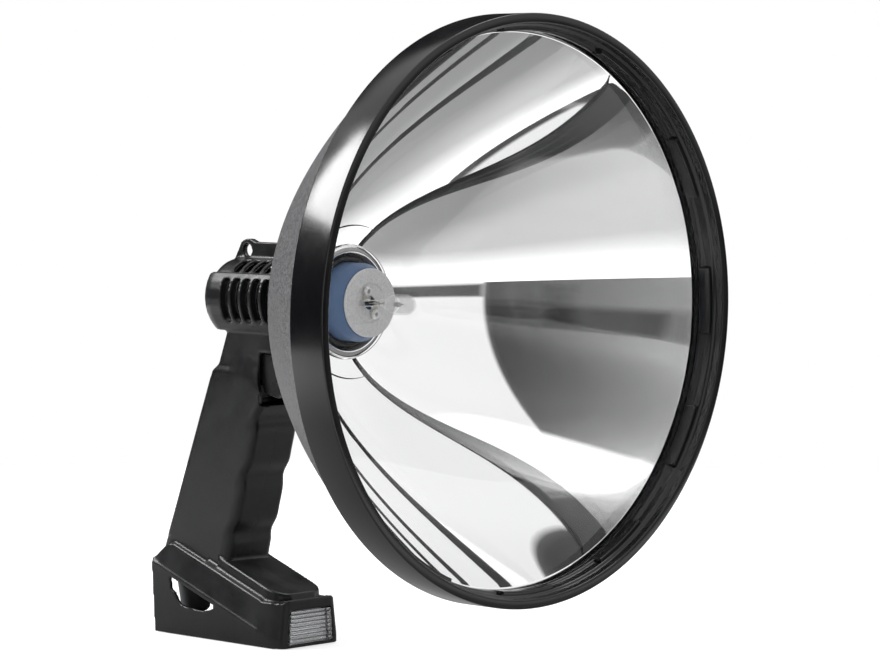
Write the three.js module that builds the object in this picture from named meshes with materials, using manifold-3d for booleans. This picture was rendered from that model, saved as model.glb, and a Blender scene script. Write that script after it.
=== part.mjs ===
// Handheld searchlight: a wide mirror lamp that screws along the barrel of a pistol grip to focus,
// with a trigger, and a foot that holds a small map light and the cable gland.
// Millimetres, +Z up. The beam points along -Y, and X = 0 is the parting plane of the handle.
// The origin is the middle of the sole. A depth is measured back from the front of the rim.
import * as THREE from "three";
import { mergeVertices } from "three/addons/utils/BufferGeometryUtils.js";
import Module from "manifold-3d";

const wasm = await Module();
wasm.setup();

// Clearances and cuts
const fitGap = 0.3;
const runningGap = 0.5;
const cutOverrun = 6;
const weldDistance = 1e-4;

// Facet counts
const headFacets = 40;
const barrelFacets = 32;
const smallFacets = 16;
const tinyFacets = 10;

// Overall places: the beam axis above the sole, and the mirror's depth and its reach from the grip
const beamHeight = 156;
const mirrorVertexDepth = 119;
const gripReach = 61.5;
const beamReach = mirrorVertexDepth + gripReach;

// Front rim: its radii are stepped in from the outer one
const rimRadius = 125;
const rimDepth = 18.5;
const rimEdge = 0.8;
const rimMouthInset = 4.2;
const rimMouthDepth = 3.6;
const rimStepInset = 5.6;
const rimSkirtWall = 3.4;
const rimSkirtCover = 0.9;
const lensSeatInset = 6.8;
const lensSeatThickness = 2.6;
const rimLugCount = 12;
const rimLugAngle = 15.5;
const rimLugHeight = 1.6;
const rimLugLength = 6.4;
const rimMouthRadius = rimRadius - rimMouthInset;
const rimStepRadius = rimRadius - rimStepInset;
const rimSkirtRadius = rimRadius - rimSkirtWall;
const lensSeatRadius = rimRadius - lensSeatInset;

// Lens, mirror and gasket
const lensThickness = 2.6;
const lensRadialGap = 0.4;
const gasketThickness = 1;
const mirrorMouthInset = 7.8;
const mirrorMouthDepth = 14.9406;
const mirrorWall = 1.6;
const mirrorFlangeThickness = 1.2;
const mirrorStepWidth = 8.6;
const mirrorStepHeight = 0.6;
const mirrorLipWidth = 3.4;
const mirrorLipRise = 1.865;
const mirrorNeckWall = 1.8;
const mirrorNeckInset = 1.5;
const mirrorRings = 7;
const mirrorMouthRadius = rimRadius - mirrorMouthInset;
const mirrorFocus = mirrorMouthRadius ** 2 / (4 * (mirrorVertexDepth - mirrorMouthDepth));
const mirrorNeckEnd = mirrorVertexDepth - mirrorNeckInset;

// Rear shell
const shellSpace = 5.5;
const shellFrontDepth = 21.4269;
const shellLipWall = 1.4;
const shellWall = 2.2;
const shellNeckWall = 2.2;
const shellNeckLength = 0.5;
const shellRings = 7;
const shellVertexDepth = mirrorVertexDepth + shellSpace;
const shellFrontRadius = rimSkirtRadius - fitGap;
const shellBowl = shellFrontRadius ** 2 / (shellVertexDepth - shellFrontDepth);
const shellNeckEnd = shellVertexDepth + shellNeckLength;

// Barrel of the handle: its radii step out and in from that of its cheeks
const barrelRadius = 20;
const noseStep = 0.4;
const noseLead = 5.8;
const noseLength = 8;
const noseWall = 2.5;
const noseEdge = 0.6;
const threadStep = 2;
const threadLength = 18.8;
const barrelCoreStep = 2.6;
const barrelCoreWall = 1.8;
const barrelLength = 50.8;
const barrelEndWall = 3.5;
const barrelEndRound = 7.5;
const cheekTopAngle = 36;
const cheekBottomAngle = -50;
const noseRadius = barrelRadius + noseStep;
const noseDepth = mirrorVertexDepth - noseLead;
const threadRadius = barrelRadius + threadStep;
const threadStart = noseDepth + noseLength;
const threadEnd = threadStart + threadLength;
const barrelCoreRadius = barrelRadius - barrelCoreStep;
const barrelBore = barrelCoreRadius - barrelCoreWall;
const barrelEnd = threadEnd + barrelLength;
const socketBore = noseRadius - noseWall;

// Vents in the cheeks and in the crown
const ventCount = 5;
const ventPitch = 6.6;
const ventWidth = 4.7;
const ventRearInset = 14.7;
const ventTop = 9.2;
const ventBottom = -10.8;
const ventRound = 1.6;
const crownVentInner = 3.8;
const crownVentOuter = 12.2;
const ventRearDepth = barrelEnd - ventRearInset;

// Mirror's neck, and the neck pieces behind the shell, round the barrel
const mirrorNeckSpace = 1.2;
const collarFlangeThickness = 1.6;
const sealWidth = 1.8;
const shellNeckSpace = 4.9;
const brakeThickness = 3;
const brakeKeyWidth = 4;
const brakeKeyDepth = 1.1;
const capWall = 2;
const capShellGap = 1.5;
const capFlangeThickness = 1.8;
const capRibCount = 20;
const capRibHeight = 0.6;
const mirrorNeckRadius = noseRadius + mirrorNeckSpace;
const mirrorLipRadius = mirrorNeckRadius + mirrorLipWidth;
const mirrorStepRadius = mirrorLipRadius + mirrorStepWidth;
const collarBore = threadRadius + runningGap;
const shellNeckRadius = collarBore + shellNeckSpace;
const capHole = threadRadius + 2 * runningGap;

// Hanging lug on top of the barrel
const lugThickness = 3.2;
const lugHoleRadius = 3;
const lugHoleInset = 13;
const lugHoleRise = 1;
const lugWall = 5.2;
const lugCrown = 1.4;
const lugLead = 9;
const lugHoleDepth = barrelEnd - lugHoleInset;
const lugHoleHeight = barrelRadius + lugHoleRise;
const lugCrest = lugHoleHeight + lugWall;
const lugFlat = lugCrest - lugCrown;
const lugFront = threadEnd + lugLead;

// Foot: heights fall from its top, and places are set in from its ends
const footHalfWidth = 19;
const footHalfLength = 42.3;
const footTopHeight = 41.6;
const footTopInset = 7.8;
const footRearBulge = 2.2;
const footShoulderDrop = 7.4;
const footBrowInset = 4.3;
const footBrowDrop = 2;
const footSlope = 0.356;
const lowerRidgeDrop = 24.5;
const upperRidgeDrop = 11.2;
const plateauDrop = 4.7;
const plateauReach = 6;
const plateauLead = 5.7;
const plateauCornerLength = 7.6;
const plateauCornerWidth = 7;
const plateauStep = 0.9;
const frontEdgeDrop = 19.7;
const frontLipWidth = 1.6;
const bandLean = 2;
const ledgeWidth = 1.6;
const ledgeDip = 0.7;
const plateauInset = 4.4;
const frontCornerWidth = 3.9;
const frontCornerLength = 9.3;
const rearCornerLength = 9;
const rearCornerWidth = 3;
const footFront = -footHalfLength;
const footRear = footHalfLength;
const footRearTop = footRear + footRearBulge;
const footShoulderHeight = footTopHeight - footShoulderDrop;
const footBrowRear = footRear - footBrowInset;
const footBrowHeight = footTopHeight - footBrowDrop;
const footTopRear = footRear - footTopInset;
const lowerRidgeHeight = footTopHeight - lowerRidgeDrop;
const upperRidgeHeight = footTopHeight - upperRidgeDrop;
const plateauHeight = footTopHeight - plateauDrop;
const plateauFront = footFront + plateauLead;
const frontEdgeHeight = footTopHeight - frontEdgeDrop;

// Cord bay and its side windows
const footWall = 2.8;
const bayWall = 1.6;
const bayLead = 41.3;
const bayFloor = 4.3;
const bayCeilingDrop = 1.7;
const windowLead = 1.8;
const windowLength = 30.9;
const windowDrop = 9.6;
const bayFront = footFront + bayLead;
const bayCeilingHeight = lowerRidgeHeight - bayCeilingDrop;
const windowFront = bayFront + windowLead;

// Sole pad
const solePadThickness = 2;
const solePadInset = 2.2;
const soleProud = 0.4;
const solePadFrontInset = 6.3;
const solePadRearInset = 4.3;
const solePadFront = footFront + solePadFrontInset;
const solePadRear = footRear - solePadRearInset;

// Map light
const mapWindowInset = 5.2;
const mapWindowTaper = 1.1;
const mapWindowLow = 1.9;
const mapWindowHeight = 15.1;
const mapPocketSide = 1.5;
const mapPocketDepth = 22.3;
const mapLensProud = 0.4;
const mapLensFlange = 1.2;
const mapLensLip = 1;
const mapRibCount = 6;
const mapRibDepth = 0.9;
const mapTrayWall = 0.8;
const mapTrayDepth = 13.3;
const mapBulbRadius = 2.6;
const mapBulbLength = 8;
const mapHolderRadius = 4.4;
const mapHolderLength = 6;
const mapWindowBottomHalf = footHalfWidth - mapWindowInset;
const mapWindowTopHalf = mapWindowBottomHalf - mapWindowTaper;
const mapWindowHigh = mapWindowLow + mapWindowHeight;
const mapPocketHalf = mapWindowBottomHalf + mapPocketSide;
const mapPocketRear = footFront + mapPocketDepth;
const mapTrayRear = footFront + mapTrayDepth;

// Grip: its front and rear lines rise from the foot and lean forward
const gripHalfWidth = 14;
const neckHalfWidth = 13.1;
const gripFootRise = 0.4;
const gripRearInset = 0.2;
const gripLength = 44.9;
const gripRearLean = 32.2;
const gripFrontLean = 24.9;
const gripShoulderDrop = 33.6;
const gripTopDrop = 13;
const neckRearInset = 2.2;
const neckRearLean = 8.2;
const neckFrontInset = 3;
const neckFrontLead = 8;
const fingerPitch = 26.4;
const fingerHeight = 1;
const fingerRise = 15;
const fingerSkewShare = 0.9;
const gripLevelsPerFinger = 4;
const gripWall = 2.5;
const gripFloorDrop = 5.1;
const gripFootHeight = footTopHeight + gripFootRise;
const gripRearAtFoot = footRear - gripRearInset;
const gripFrontAtFoot = gripRearAtFoot - gripLength;
const gripShoulderHeight = beamHeight - gripShoulderDrop;
const gripTopHeight = beamHeight - gripTopDrop;
const gripRearSlope = gripRearLean / (gripShoulderHeight - gripFootHeight);
const gripFrontSlope = gripFrontLean / (gripShoulderHeight - gripFootHeight);
const neckFrontDepth = threadEnd + neckFrontLead;
const gripCavityFloor = footTopHeight - gripFloorDrop;

// Cable gland
const glandInset = 7.1;
const glandShoulderDrop = 17.6;
const glandMouthRadius = 6.6;
const glandMouthRound = 1.6;
const glandShoulderLength = 15.2;
const glandShoulderRadius = 8.5;
const glandStemRadius = 4;
const glandBore = 3;
const glandStemReach = 6.1;
const glandNutRadius = 5.5;
const glandNutThickness = 3.2;
const glandNutTurn = 30;
const glandPlace = footRear - glandInset;
const glandShoulderHeight = footTopHeight - glandShoulderDrop;
const glandMouthHeight = glandShoulderHeight - glandShoulderLength;
const glandTop = gripCavityFloor + glandStemReach;

// Bulb and its socket
const plateLead = 19.4;
const plateThickness = 1.5;
const plateRecessInset = 6.8;
const plateRecessDepth = 0.5;
const plateHoleRadius = 3;
const socketNoseStep = 1.9;
const socketNoseLength = 4.4;
const socketFlangeStep = 1.4;
const socketFlangeRear = 0.7;
const socketFlangeThickness = 3;
const socketTail = 7.9;
const rivetRadius = 2.3;
const rivetTailRadius = 1.3;
const rivetBore = 0.8;
const rivetHeight = 1.1;
const rivetTail = 1.6;
const rivetAcross = 2.3;
const rivetUp = 5.1;
const clipThickness = 0.4;
const clipReach = 6.6;
const clipForward = 2.6;
const clipGap = 1.9;
const clipWidth = 3.9;
const pinRadius = 0.55;
const pinSpacing = 2.6;
const pinReach = 8.4;
const pinchLead = 7.1;
const pinchLength = 6.4;
const pinchNarrowWidth = 4.6;
const pinchNarrowHeight = 2.8;
const pinchWideWidth = 6;
const pinchWideHeight = 7.4;
const capsuleRadius = 4.6;
const capsuleWall = 0.8;
const capsuleLength = 12.7;
const filamentRadius = 0.9;
const filamentWire = 0.22;
const filamentTurns = 5;
const filamentLength = 3;
const filamentInset = 9.6;
const plateFront = mirrorVertexDepth - plateLead;
const socketRadius = socketBore - runningGap;
const socketNoseRadius = socketRadius - socketNoseStep;
const plateRadius = socketNoseRadius - fitGap;
const plateRecessRadius = plateRadius - plateRecessInset;
const socketFlangeRadius = socketRadius + socketFlangeStep;
const socketFlangeStart = mirrorVertexDepth + socketFlangeRear;
const socketEnd = socketFlangeStart + socketTail;
const pinEnd = plateFront + pinReach;
const pinchStart = plateFront - pinchLead;
const capsuleTip = pinchStart - pinchLength - capsuleLength;
const filamentDepth = capsuleTip + filamentInset;

// Trigger: it hangs below the barrel, just behind the thread
const triggerDrop = 24.8;
const triggerHeight = 19.6;
const triggerHalfWidth = 10.4;
const triggerLead = 6.6;
const triggerLength = 13;
const triggerScoop = 2.2;
const triggerPivotInset = 17.4;
const triggerPivotDrop = 2.8;
const triggerPinRadius = 1.5;
const triggerPinHalfLength = 12.2;
const triggerPocketGap = 0.5;
const triggerNotch = 3.8;
const triggerEarRadius = 2.7;
const triggerFingerRise = 5.4;
const triggerFingerHalfWidth = 2;
const triggerFingerHalfHeight = 1.6;
const triggerHousingHalf = 12.4;
const triggerHousingWall = 2;
const triggerHousingInset = 3.4;
const reliefInset = 11.5;
const triggerTop = beamHeight - triggerDrop;
const triggerBottom = triggerTop - triggerHeight;
const triggerFrontDepth = threadEnd + triggerLead;
const triggerBackDepth = triggerFrontDepth + triggerLength;
const triggerPivotDepth = triggerFrontDepth + triggerPivotInset;
const triggerPivotHeight = triggerTop - triggerPivotDrop;
const triggerFingerHeight = triggerBottom + triggerFingerRise;
const triggerHousingFront = triggerFrontDepth + triggerHousingInset;
const triggerPocketFloor = triggerBottom - triggerNotch;
const triggerPocketTop = triggerTop + triggerPocketGap;
const reliefDepth = triggerFrontDepth + reliefInset;

// Switch behind the trigger
const plungerRadius = 1.3;
const plungerLength = 4.4;
const switchInset = 4.2;
const switchLength = 7.6;
const switchHalfWidth = 9.6;
const switchDrop = 6.8;
const switchHeight = 14.2;
const terminalWidth = 3;
const terminalLength = 3.4;
const terminalThickness = 0.6;
const switchDepthStart = triggerPivotDepth + switchInset;
const switchTop = triggerTop - switchDrop;
const switchBottom = switchTop - switchHeight;

// Screws of the handle
const screwRadius = 1.4;
const screwHeadRadius = 2.9;
const screwHeadHeight = 1.8;
const screwTipInset = 4;
const screwBossRadius = 3.6;
const screwSlotWidth = 0.8;
const screwSlotDepth = 0.9;

// Leads inside the handle
const leadRadius = 0.9;
const leadFacets = 8;
const leadSteps = 16;
const leadSpacing = 1.6;
const leadPassageRadius = 1.6;

const degrees = Math.PI / 180;

// Depth behind the rim's front, as a place on the Y axis
const depthY = (depth) => depth - beamReach;

// Solids from three.js geometry

function solidOf(geometry) {
  const bare = new THREE.BufferGeometry();
  const source = geometry.index ? geometry.toNonIndexed() : geometry;
  bare.setAttribute("position", source.getAttribute("position").clone());
  const merged = mergeVertices(bare, weldDistance);
  const index = merged.index.array;
  const kept = [];
  for (let i = 0; i < index.length; i += 3) {
    const [a, b, c] = [index[i], index[i + 1], index[i + 2]];
    if (a !== b && b !== c && c !== a) kept.push(a, b, c);
  }
  const vertProperties = Float32Array.from(merged.attributes.position.array);
  const build = (triVerts) =>
    new wasm.Manifold(new wasm.Mesh({ numProp: 3, vertProperties, triVerts }));
  const made = build(Uint32Array.from(kept));
  if (made.volume() > 0) return made;
  for (let i = 0; i < kept.length; i += 3) {
    [kept[i + 1], kept[i + 2]] = [kept[i + 2], kept[i + 1]];
  }
  return build(Uint32Array.from(kept));
}

function meshOf(name, solid, material) {
  const { vertProperties, triVerts, numProp } = solid.getMesh();
  const positions = new Float32Array((vertProperties.length / numProp) * 3);
  for (let i = 0; i < positions.length / 3; i += 1) {
    positions.set(vertProperties.subarray(i * numProp, i * numProp + 3), i * 3);
  }
  const geometry = new THREE.BufferGeometry();
  geometry.setAttribute("position", new THREE.BufferAttribute(positions, 3));
  geometry.setIndex(new THREE.BufferAttribute(triVerts.slice(), 1));
  geometry.computeVertexNormals();
  const mesh = new THREE.Mesh(geometry, material);
  mesh.name = name;
  return mesh;
}

const joined = (first, ...rest) => rest.reduce((sum, solid) => sum.add(solid), first);
const cut = (first, ...rest) => rest.reduce((sum, solid) => sum.subtract(solid), first);

// Outline of [x, y] points, extruded along the third axis
function extruded(points, length) {
  const shape = new THREE.Shape(points.map(([x, y]) => new THREE.Vector2(x, y)));
  return new THREE.ExtrudeGeometry(shape, { depth: length, bevelEnabled: false });
}

// Outline in (y, z), from x = from to x = to
function prismX(points, from, to) {
  const turn = new THREE.Matrix4().set(0, 0, 1, from, 1, 0, 0, 0, 0, 1, 0, 0, 0, 0, 0, 1);
  return solidOf(extruded(points, to - from).applyMatrix4(turn));
}

// Outline in (x, z), from y = from to y = to
function prismY(points, from, to) {
  const turn = new THREE.Matrix4().set(1, 0, 0, 0, 0, 0, -1, to, 0, 1, 0, 0, 0, 0, 0, 1);
  return solidOf(extruded(points, to - from).applyMatrix4(turn));
}

// Outline in (x, y), from z = from to z = to
function prismZ(points, from, to) {
  return solidOf(extruded(points, to - from).translate(0, 0, from));
}

function block([x0, y0, z0], [x1, y1, z1]) {
  const geometry = new THREE.BoxGeometry(x1 - x0, y1 - y0, z1 - z0);
  return solidOf(geometry.translate((x0 + x1) / 2, (y0 + y1) / 2, (z0 + z1) / 2));
}

// Profile of [radius, height] points turned about an upright axis
function turnedAboutZ(profile, facets, x, y) {
  const points = profile.map(([radius, height]) => new THREE.Vector2(radius, height));
  const geometry = new THREE.LatheGeometry(points, facets).rotateX(Math.PI / 2);
  return solidOf(geometry.translate(x, y, 0));
}

// Profile of [radius, depth] points turned about the beam axis
function turnedAboutBeam(profile, facets = headFacets) {
  const points = profile.map(([radius, depth]) => new THREE.Vector2(radius, depthY(depth)));
  return solidOf(new THREE.LatheGeometry(points, facets).translate(0, 0, beamHeight));
}

// A rod along X between two places, at y and z
function rodX(radius, from, to, y, z, facets = smallFacets) {
  const geometry = new THREE.CylinderGeometry(radius, radius, to - from, facets);
  return solidOf(geometry.rotateZ(Math.PI / 2).translate((from + to) / 2, y, z));
}

// A rod along Y between two places, at x and z
function rodY(radius, from, to, x, z, facets = smallFacets) {
  const geometry = new THREE.CylinderGeometry(radius, radius, to - from, facets);
  return solidOf(geometry.translate(x, (from + to) / 2, z));
}

// A ring profile between two radii and two depths
const ringProfile = (inner, outer, start, end) => [
  [inner, start],
  [outer, start],
  [outer, end],
  [inner, end],
  [inner, start],
];

// A round tube of one radius along a smooth curve through places
function tubeAlong(places, radius, sides, steps) {
  const path = new THREE.CatmullRomCurve3(places.map(([x, y, z]) => new THREE.Vector3(x, y, z)));
  const section = new THREE.Shape();
  for (let i = 0; i < sides; i += 1) {
    const angle = (2 * Math.PI * i) / sides;
    const [x, y] = [radius * Math.cos(angle), radius * Math.sin(angle)];
    if (i) section.lineTo(x, y);
    else section.moveTo(x, y);
  }
  const options = { steps, extrudePath: path, bevelEnabled: false };
  return solidOf(new THREE.ExtrudeGeometry(section, options));
}

// Skin over rings of equal point count, closed by a fan on the first and the last ring
function lofted(rings) {
  const count = rings[0].length;
  const positions = rings.flat(2);
  const index = [];
  for (let level = 0; level + 1 < rings.length; level += 1) {
    for (let i = 0; i < count; i += 1) {
      const next = (i + 1) % count;
      const [a, b] = [level * count + i, level * count + next];
      index.push(a, b, b + count, a, b + count, a + count);
    }
  }
  const last = (rings.length - 1) * count;
  for (let i = 1; i + 1 < count; i += 1) {
    index.push(0, i + 1, i);
    index.push(last, last + i, last + i + 1);
  }
  const geometry = new THREE.BufferGeometry();
  geometry.setAttribute("position", new THREE.Float32BufferAttribute(positions, 3));
  geometry.setIndex(index);
  return solidOf(geometry);
}

// Materials

const finish = (color, roughness, metalness = 0, extra = {}) =>
  new THREE.MeshStandardMaterial({ color, roughness, metalness, ...extra });
const glossBlack = () => finish(0x0a0a0c, 0.18);
const texturedBlack = () => finish(0x3a3b3d, 0.62);
const gripBlack = () => finish(0x242527, 0.5);
const smoothBlack = () => finish(0x151517, 0.35);
const blackRubber = () => finish(0x161616, 0.85);
const mirrorFinish = () => finish(0xf2f3f5, 0.03, 1);
const steel = () => finish(0xb4b6b8, 0.3, 1);
const aluminium = () => finish(0xb9babb, 0.42, 1);
const brass = () => finish(0xc9a24a, 0.32, 1);
const blueSocket = () => finish(0x47607f, 0.45);
const clearPlastic = () => finish(0xf4f7f8, 0.05, 0, { transparent: true, opacity: 0.25 });
const clearGlass = () => finish(0xffffff, 0.02, 0, { transparent: true, opacity: 0.3 });
const leadColour = (color) => finish(color, 0.5);

// Head

const lensStack = lensThickness + mirrorFlangeThickness + gasketThickness + 4 * fitGap;
const lensSeatDepth = rimDepth - rimSkirtCover - lensStack;
const lensFront = lensSeatDepth + fitGap;
const lensBack = lensFront + lensThickness;
const flangeFront = lensBack + fitGap;
const flangeBack = flangeFront + mirrorFlangeThickness;
const gasketFront = flangeBack + fitGap;
const gasketBack = gasketFront + gasketThickness;
const shellSeatDepth = gasketBack + fitGap;
const shellLipInner = shellFrontRadius - shellLipWall;
const flangeRadius = shellLipInner - lensRadialGap;
const gasketInner = mirrorMouthRadius + mirrorWall / 2;

const mirrorDepth = (radius) => mirrorVertexDepth - radius ** 2 / (4 * mirrorFocus);
const shellDepth = (radius) => shellVertexDepth - radius ** 2 / shellBowl;
const mirrorLipDepth = mirrorDepth(mirrorLipRadius) - mirrorLipRise;
const capBore = shellNeckRadius + fitGap;
const capRadius = capBore + capWall;
const capStart = shellDepth(capRadius + capRibHeight) + capShellGap;

// Place on a bowl's surface, moved out along its normal; slope is the bowl's fall per radius
function offsetFrom(radius, depth, slope, distance) {
  const length = Math.hypot(slope, 1);
  return [radius + (distance * slope) / length, depth + distance / length];
}
const mirrorBack = (radius) =>
  offsetFrom(radius, mirrorDepth(radius), radius / (2 * mirrorFocus), mirrorWall);
const shellInner = (radius) =>
  offsetFrom(radius, shellDepth(radius), (2 * radius) / shellBowl, -shellWall);

// Even steps from one value to another, both included
const evenSteps = (from, to, count) =>
  Array.from({ length: count + 1 }, (_, i) => from + ((to - from) * i) / count);

function frontRim() {
  const seatFront = lensSeatDepth - lensSeatThickness;
  const ring = turnedAboutBeam([
    [rimRadius - rimEdge, 0],
    [rimRadius, rimEdge],
    [rimRadius, rimDepth - rimEdge],
    [rimRadius - rimEdge / 2, rimDepth],
    [rimSkirtRadius, rimDepth],
    [rimSkirtRadius, lensSeatDepth],
    [lensSeatRadius, lensSeatDepth],
    [lensSeatRadius, seatFront],
    [rimStepRadius, seatFront - rimEdge],
    [rimStepRadius, rimMouthDepth + rimEdge],
    [rimMouthRadius, rimMouthDepth],
    [rimMouthRadius, rimEdge],
    [rimMouthRadius + rimEdge, 0],
    [rimRadius - rimEdge, 0],
  ]);
  return joined(ring, ...rimLugs());
}

// Arc blocks on the rim's inner wall that hold a push-on cover
function rimLugs() {
  const inner = rimStepRadius - rimLugHeight;
  const outer = (rimStepRadius + rimRadius) / 2;
  const start = depthY(lensSeatDepth - rimLugLength);
  return Array.from({ length: rimLugCount }, (_, i) => {
    const middle = 90 + (360 * i) / rimLugCount;
    const angles = evenSteps(middle - rimLugAngle / 2, middle + rimLugAngle / 2, 3);
    const arc = (radius, list) =>
      list.map((angle) => [
        radius * Math.cos(angle * degrees),
        beamHeight + radius * Math.sin(angle * degrees),
      ]);
    const outline = [...arc(inner, angles), ...arc(outer, [...angles].reverse())];
    return prismY(outline, start, depthY(lensSeatDepth - fitGap));
  });
}

const frontLens = () =>
  turnedAboutBeam([
    [0, lensFront],
    [rimSkirtRadius - lensRadialGap, lensFront],
    [rimSkirtRadius - lensRadialGap, lensBack],
    [0, lensBack],
  ]);

const lensGasket = () =>
  turnedAboutBeam(ringProfile(gasketInner, flangeRadius, gasketFront, gasketBack));

function reflector() {
  const radii = evenSteps(mirrorMouthRadius, mirrorStepRadius, mirrorRings);
  const face = radii.map((radius) => [radius, mirrorDepth(radius)]);
  const back = radii
    .map(mirrorBack)
    .filter(([radius, depth]) => depth > flangeBack + mirrorWall / 2 && radius > mirrorLipRadius)
    .reverse();
  const neckOuter = mirrorNeckRadius + mirrorNeckWall;
  return turnedAboutBeam([
    [mirrorMouthRadius, flangeFront],
    ...face,
    [mirrorStepRadius, mirrorDepth(mirrorStepRadius) - mirrorStepHeight],
    [mirrorLipRadius, mirrorDepth(mirrorLipRadius) - mirrorStepHeight],
    [mirrorLipRadius, mirrorLipDepth + rimEdge],
    [mirrorLipRadius - rimEdge, mirrorLipDepth],
    [mirrorNeckRadius, mirrorLipDepth],
    [mirrorNeckRadius, mirrorNeckEnd],
    [neckOuter, mirrorNeckEnd],
    [neckOuter, mirrorDepth(neckOuter) + mirrorWall],
    ...back,
    [flangeRadius - 2 * fitGap - mirrorWall / 2, flangeBack],
    [flangeRadius, flangeBack],
    [flangeRadius, flangeFront],
    [mirrorMouthRadius, flangeFront],
  ]);
}

function rearShell() {
  const neckInner = shellNeckRadius - shellNeckWall;
  const seatInner = gasketInner + fitGap / 2;
  const outside = evenSteps(shellFrontRadius, shellNeckRadius, shellRings);
  const inside = evenSteps(shellFrontRadius - fitGap, neckInner, shellRings)
    .map(shellInner)
    .filter(([radius, depth]) => radius > neckInner && depth > shellSeatDepth + shellWall / 2)
    .reverse();
  return turnedAboutBeam([
    [shellLipInner, flangeFront],
    [shellFrontRadius, flangeFront],
    ...outside.map((radius) => [radius, shellDepth(radius)]),
    [shellNeckRadius, shellNeckEnd],
    [neckInner, shellNeckEnd],
    [neckInner, shellInner(neckInner)[1]],
    ...inside,
    [seatInner, shellSeatDepth],
    [shellLipInner, shellSeatDepth],
    [shellLipInner, flangeFront],
  ]);
}

const collarStart = mirrorNeckEnd + sealWidth + 2 * fitGap;
const collarFlangeStart = shellNeckEnd + fitGap;
const collarFlangeEnd = collarFlangeStart + collarFlangeThickness;
const collarFlangeRadius = shellNeckRadius - fitGap;
const brakeStart = collarFlangeEnd + fitGap;
const brakeEnd = brakeStart + brakeThickness;

function neckCollar() {
  const sleeve = shellNeckRadius - shellNeckWall - fitGap;
  return turnedAboutBeam(
    [
      [collarBore, collarStart],
      [sleeve, collarStart],
      [sleeve, collarFlangeStart],
      [collarFlangeRadius, collarFlangeStart],
      [collarFlangeRadius, collarFlangeEnd],
      [collarBore, collarFlangeEnd],
      [collarBore, collarStart],
    ],
    barrelFacets,
  );
}

// Round section ring pressed between the mirror's neck and the collar
function neckSeal() {
  const radius = sealWidth / 2;
  const middle = shellNeckRadius - shellNeckWall - fitGap - radius;
  const centre = mirrorNeckEnd + fitGap + radius;
  const section = evenSteps(0, 2 * Math.PI, 8).map((angle) => [
    middle + radius * Math.cos(angle),
    centre + radius * Math.sin(angle),
  ]);
  return turnedAboutBeam([...section.slice(0, -1), section[0]], smallFacets * 2);
}

// Ring keyed to the barrel's two grooves, so it slides with the head but doesn't turn
function focusBrakeRing() {
  const ring = turnedAboutBeam(
    ringProfile(collarBore, collarFlangeRadius, brakeStart, brakeEnd),
    barrelFacets,
  );
  const keys = [-1, 1].map((side) => {
    const ends = [collarBore + fitGap, threadRadius - brakeKeyDepth + fitGap].map((r) => side * r);
    const [low, high] = ends.sort((a, b) => a - b);
    return block(
      [low, depthY(brakeStart), beamHeight - brakeKeyWidth / 2],
      [high, depthY(brakeEnd), beamHeight + brakeKeyWidth / 2],
    );
  });
  return joined(ring, ...keys);
}

// Ribbed cap over the shell's neck that holds the collar's flange and the brake ring
function neckCap() {
  const flangeStart = brakeEnd + fitGap;
  const end = flangeStart + capFlangeThickness;
  const body = turnedAboutBeam(
    [
      [capBore, capStart],
      [capRadius, capStart],
      [capRadius, end - capRibHeight],
      [capRadius - capRibHeight, end],
      [capHole, end],
      [capHole, flangeStart],
      [capBore, flangeStart],
      [capBore, capStart],
    ],
    headFacets,
  );
  const ribs = Array.from({ length: capRibCount }, (_, i) => {
    const angle = (2 * Math.PI * (i + 0.5)) / capRibCount;
    const geometry = new THREE.BoxGeometry(
      2 * capRibHeight,
      end - capStart - 2 * capRibHeight,
      2 * capRibHeight,
    );
    geometry.translate(0, depthY((capStart + end) / 2), capRadius);
    return solidOf(geometry.rotateY(angle).translate(0, 0, beamHeight));
  });
  return joined(body, ...ribs);
}

// Bulb, its socket and contacts

function bulbSocket() {
  const body = turnedAboutBeam(
    [
      [0, plateFront + plateThickness + fitGap],
      [socketNoseRadius, plateFront + plateThickness + fitGap],
      [socketRadius, plateFront + plateThickness + fitGap + socketNoseLength],
      [socketRadius, socketFlangeStart],
      [socketFlangeRadius, socketFlangeStart],
      [socketFlangeRadius, socketFlangeStart + socketFlangeThickness],
      [socketRadius, socketFlangeStart + socketFlangeThickness],
      [socketRadius, socketEnd],
      [0, socketEnd],
    ],
    barrelFacets,
  );
  const wells = socketHoles(rivetTailRadius + fitGap, rivetTail + fitGap);
  const pins = pinPlaces().map((x) =>
    rodY(
      pinRadius + fitGap,
      depthY(plateFront),
      depthY(pinEnd) + fitGap,
      x,
      beamHeight,
      tinyFacets,
    ),
  );
  return cut(body, ...wells, ...pins);
}

// The two rivets sit across the beam axis from each other
const rivetPlaces = () =>
  [-1, 1].map((side) => [side * rivetAcross, beamHeight - side * rivetUp]);
const pinPlaces = () => [-pinSpacing / 2, pinSpacing / 2];

function socketHoles(radius, depth) {
  const start = depthY(plateFront - cutOverrun);
  return rivetPlaces().map(([x, z]) =>
    rodY(radius, start, depthY(plateFront + plateThickness) + depth, x, z, tinyFacets),
  );
}

function socketPlate() {
  const back = plateFront + plateThickness;
  const disc = turnedAboutBeam(
    [
      [plateHoleRadius, plateFront + plateRecessDepth],
      [plateRecessRadius, plateFront + plateRecessDepth],
      [plateRecessRadius + plateRecessDepth, plateFront],
      [plateRadius - plateRecessDepth, plateFront],
      [plateRadius, plateFront + plateRecessDepth],
      [plateRadius, back],
      [plateHoleRadius, back],
      [plateHoleRadius, plateFront + plateRecessDepth],
    ],
    barrelFacets,
  );
  return cut(disc, ...socketHoles(rivetTailRadius + fitGap, plateThickness));
}

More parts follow.
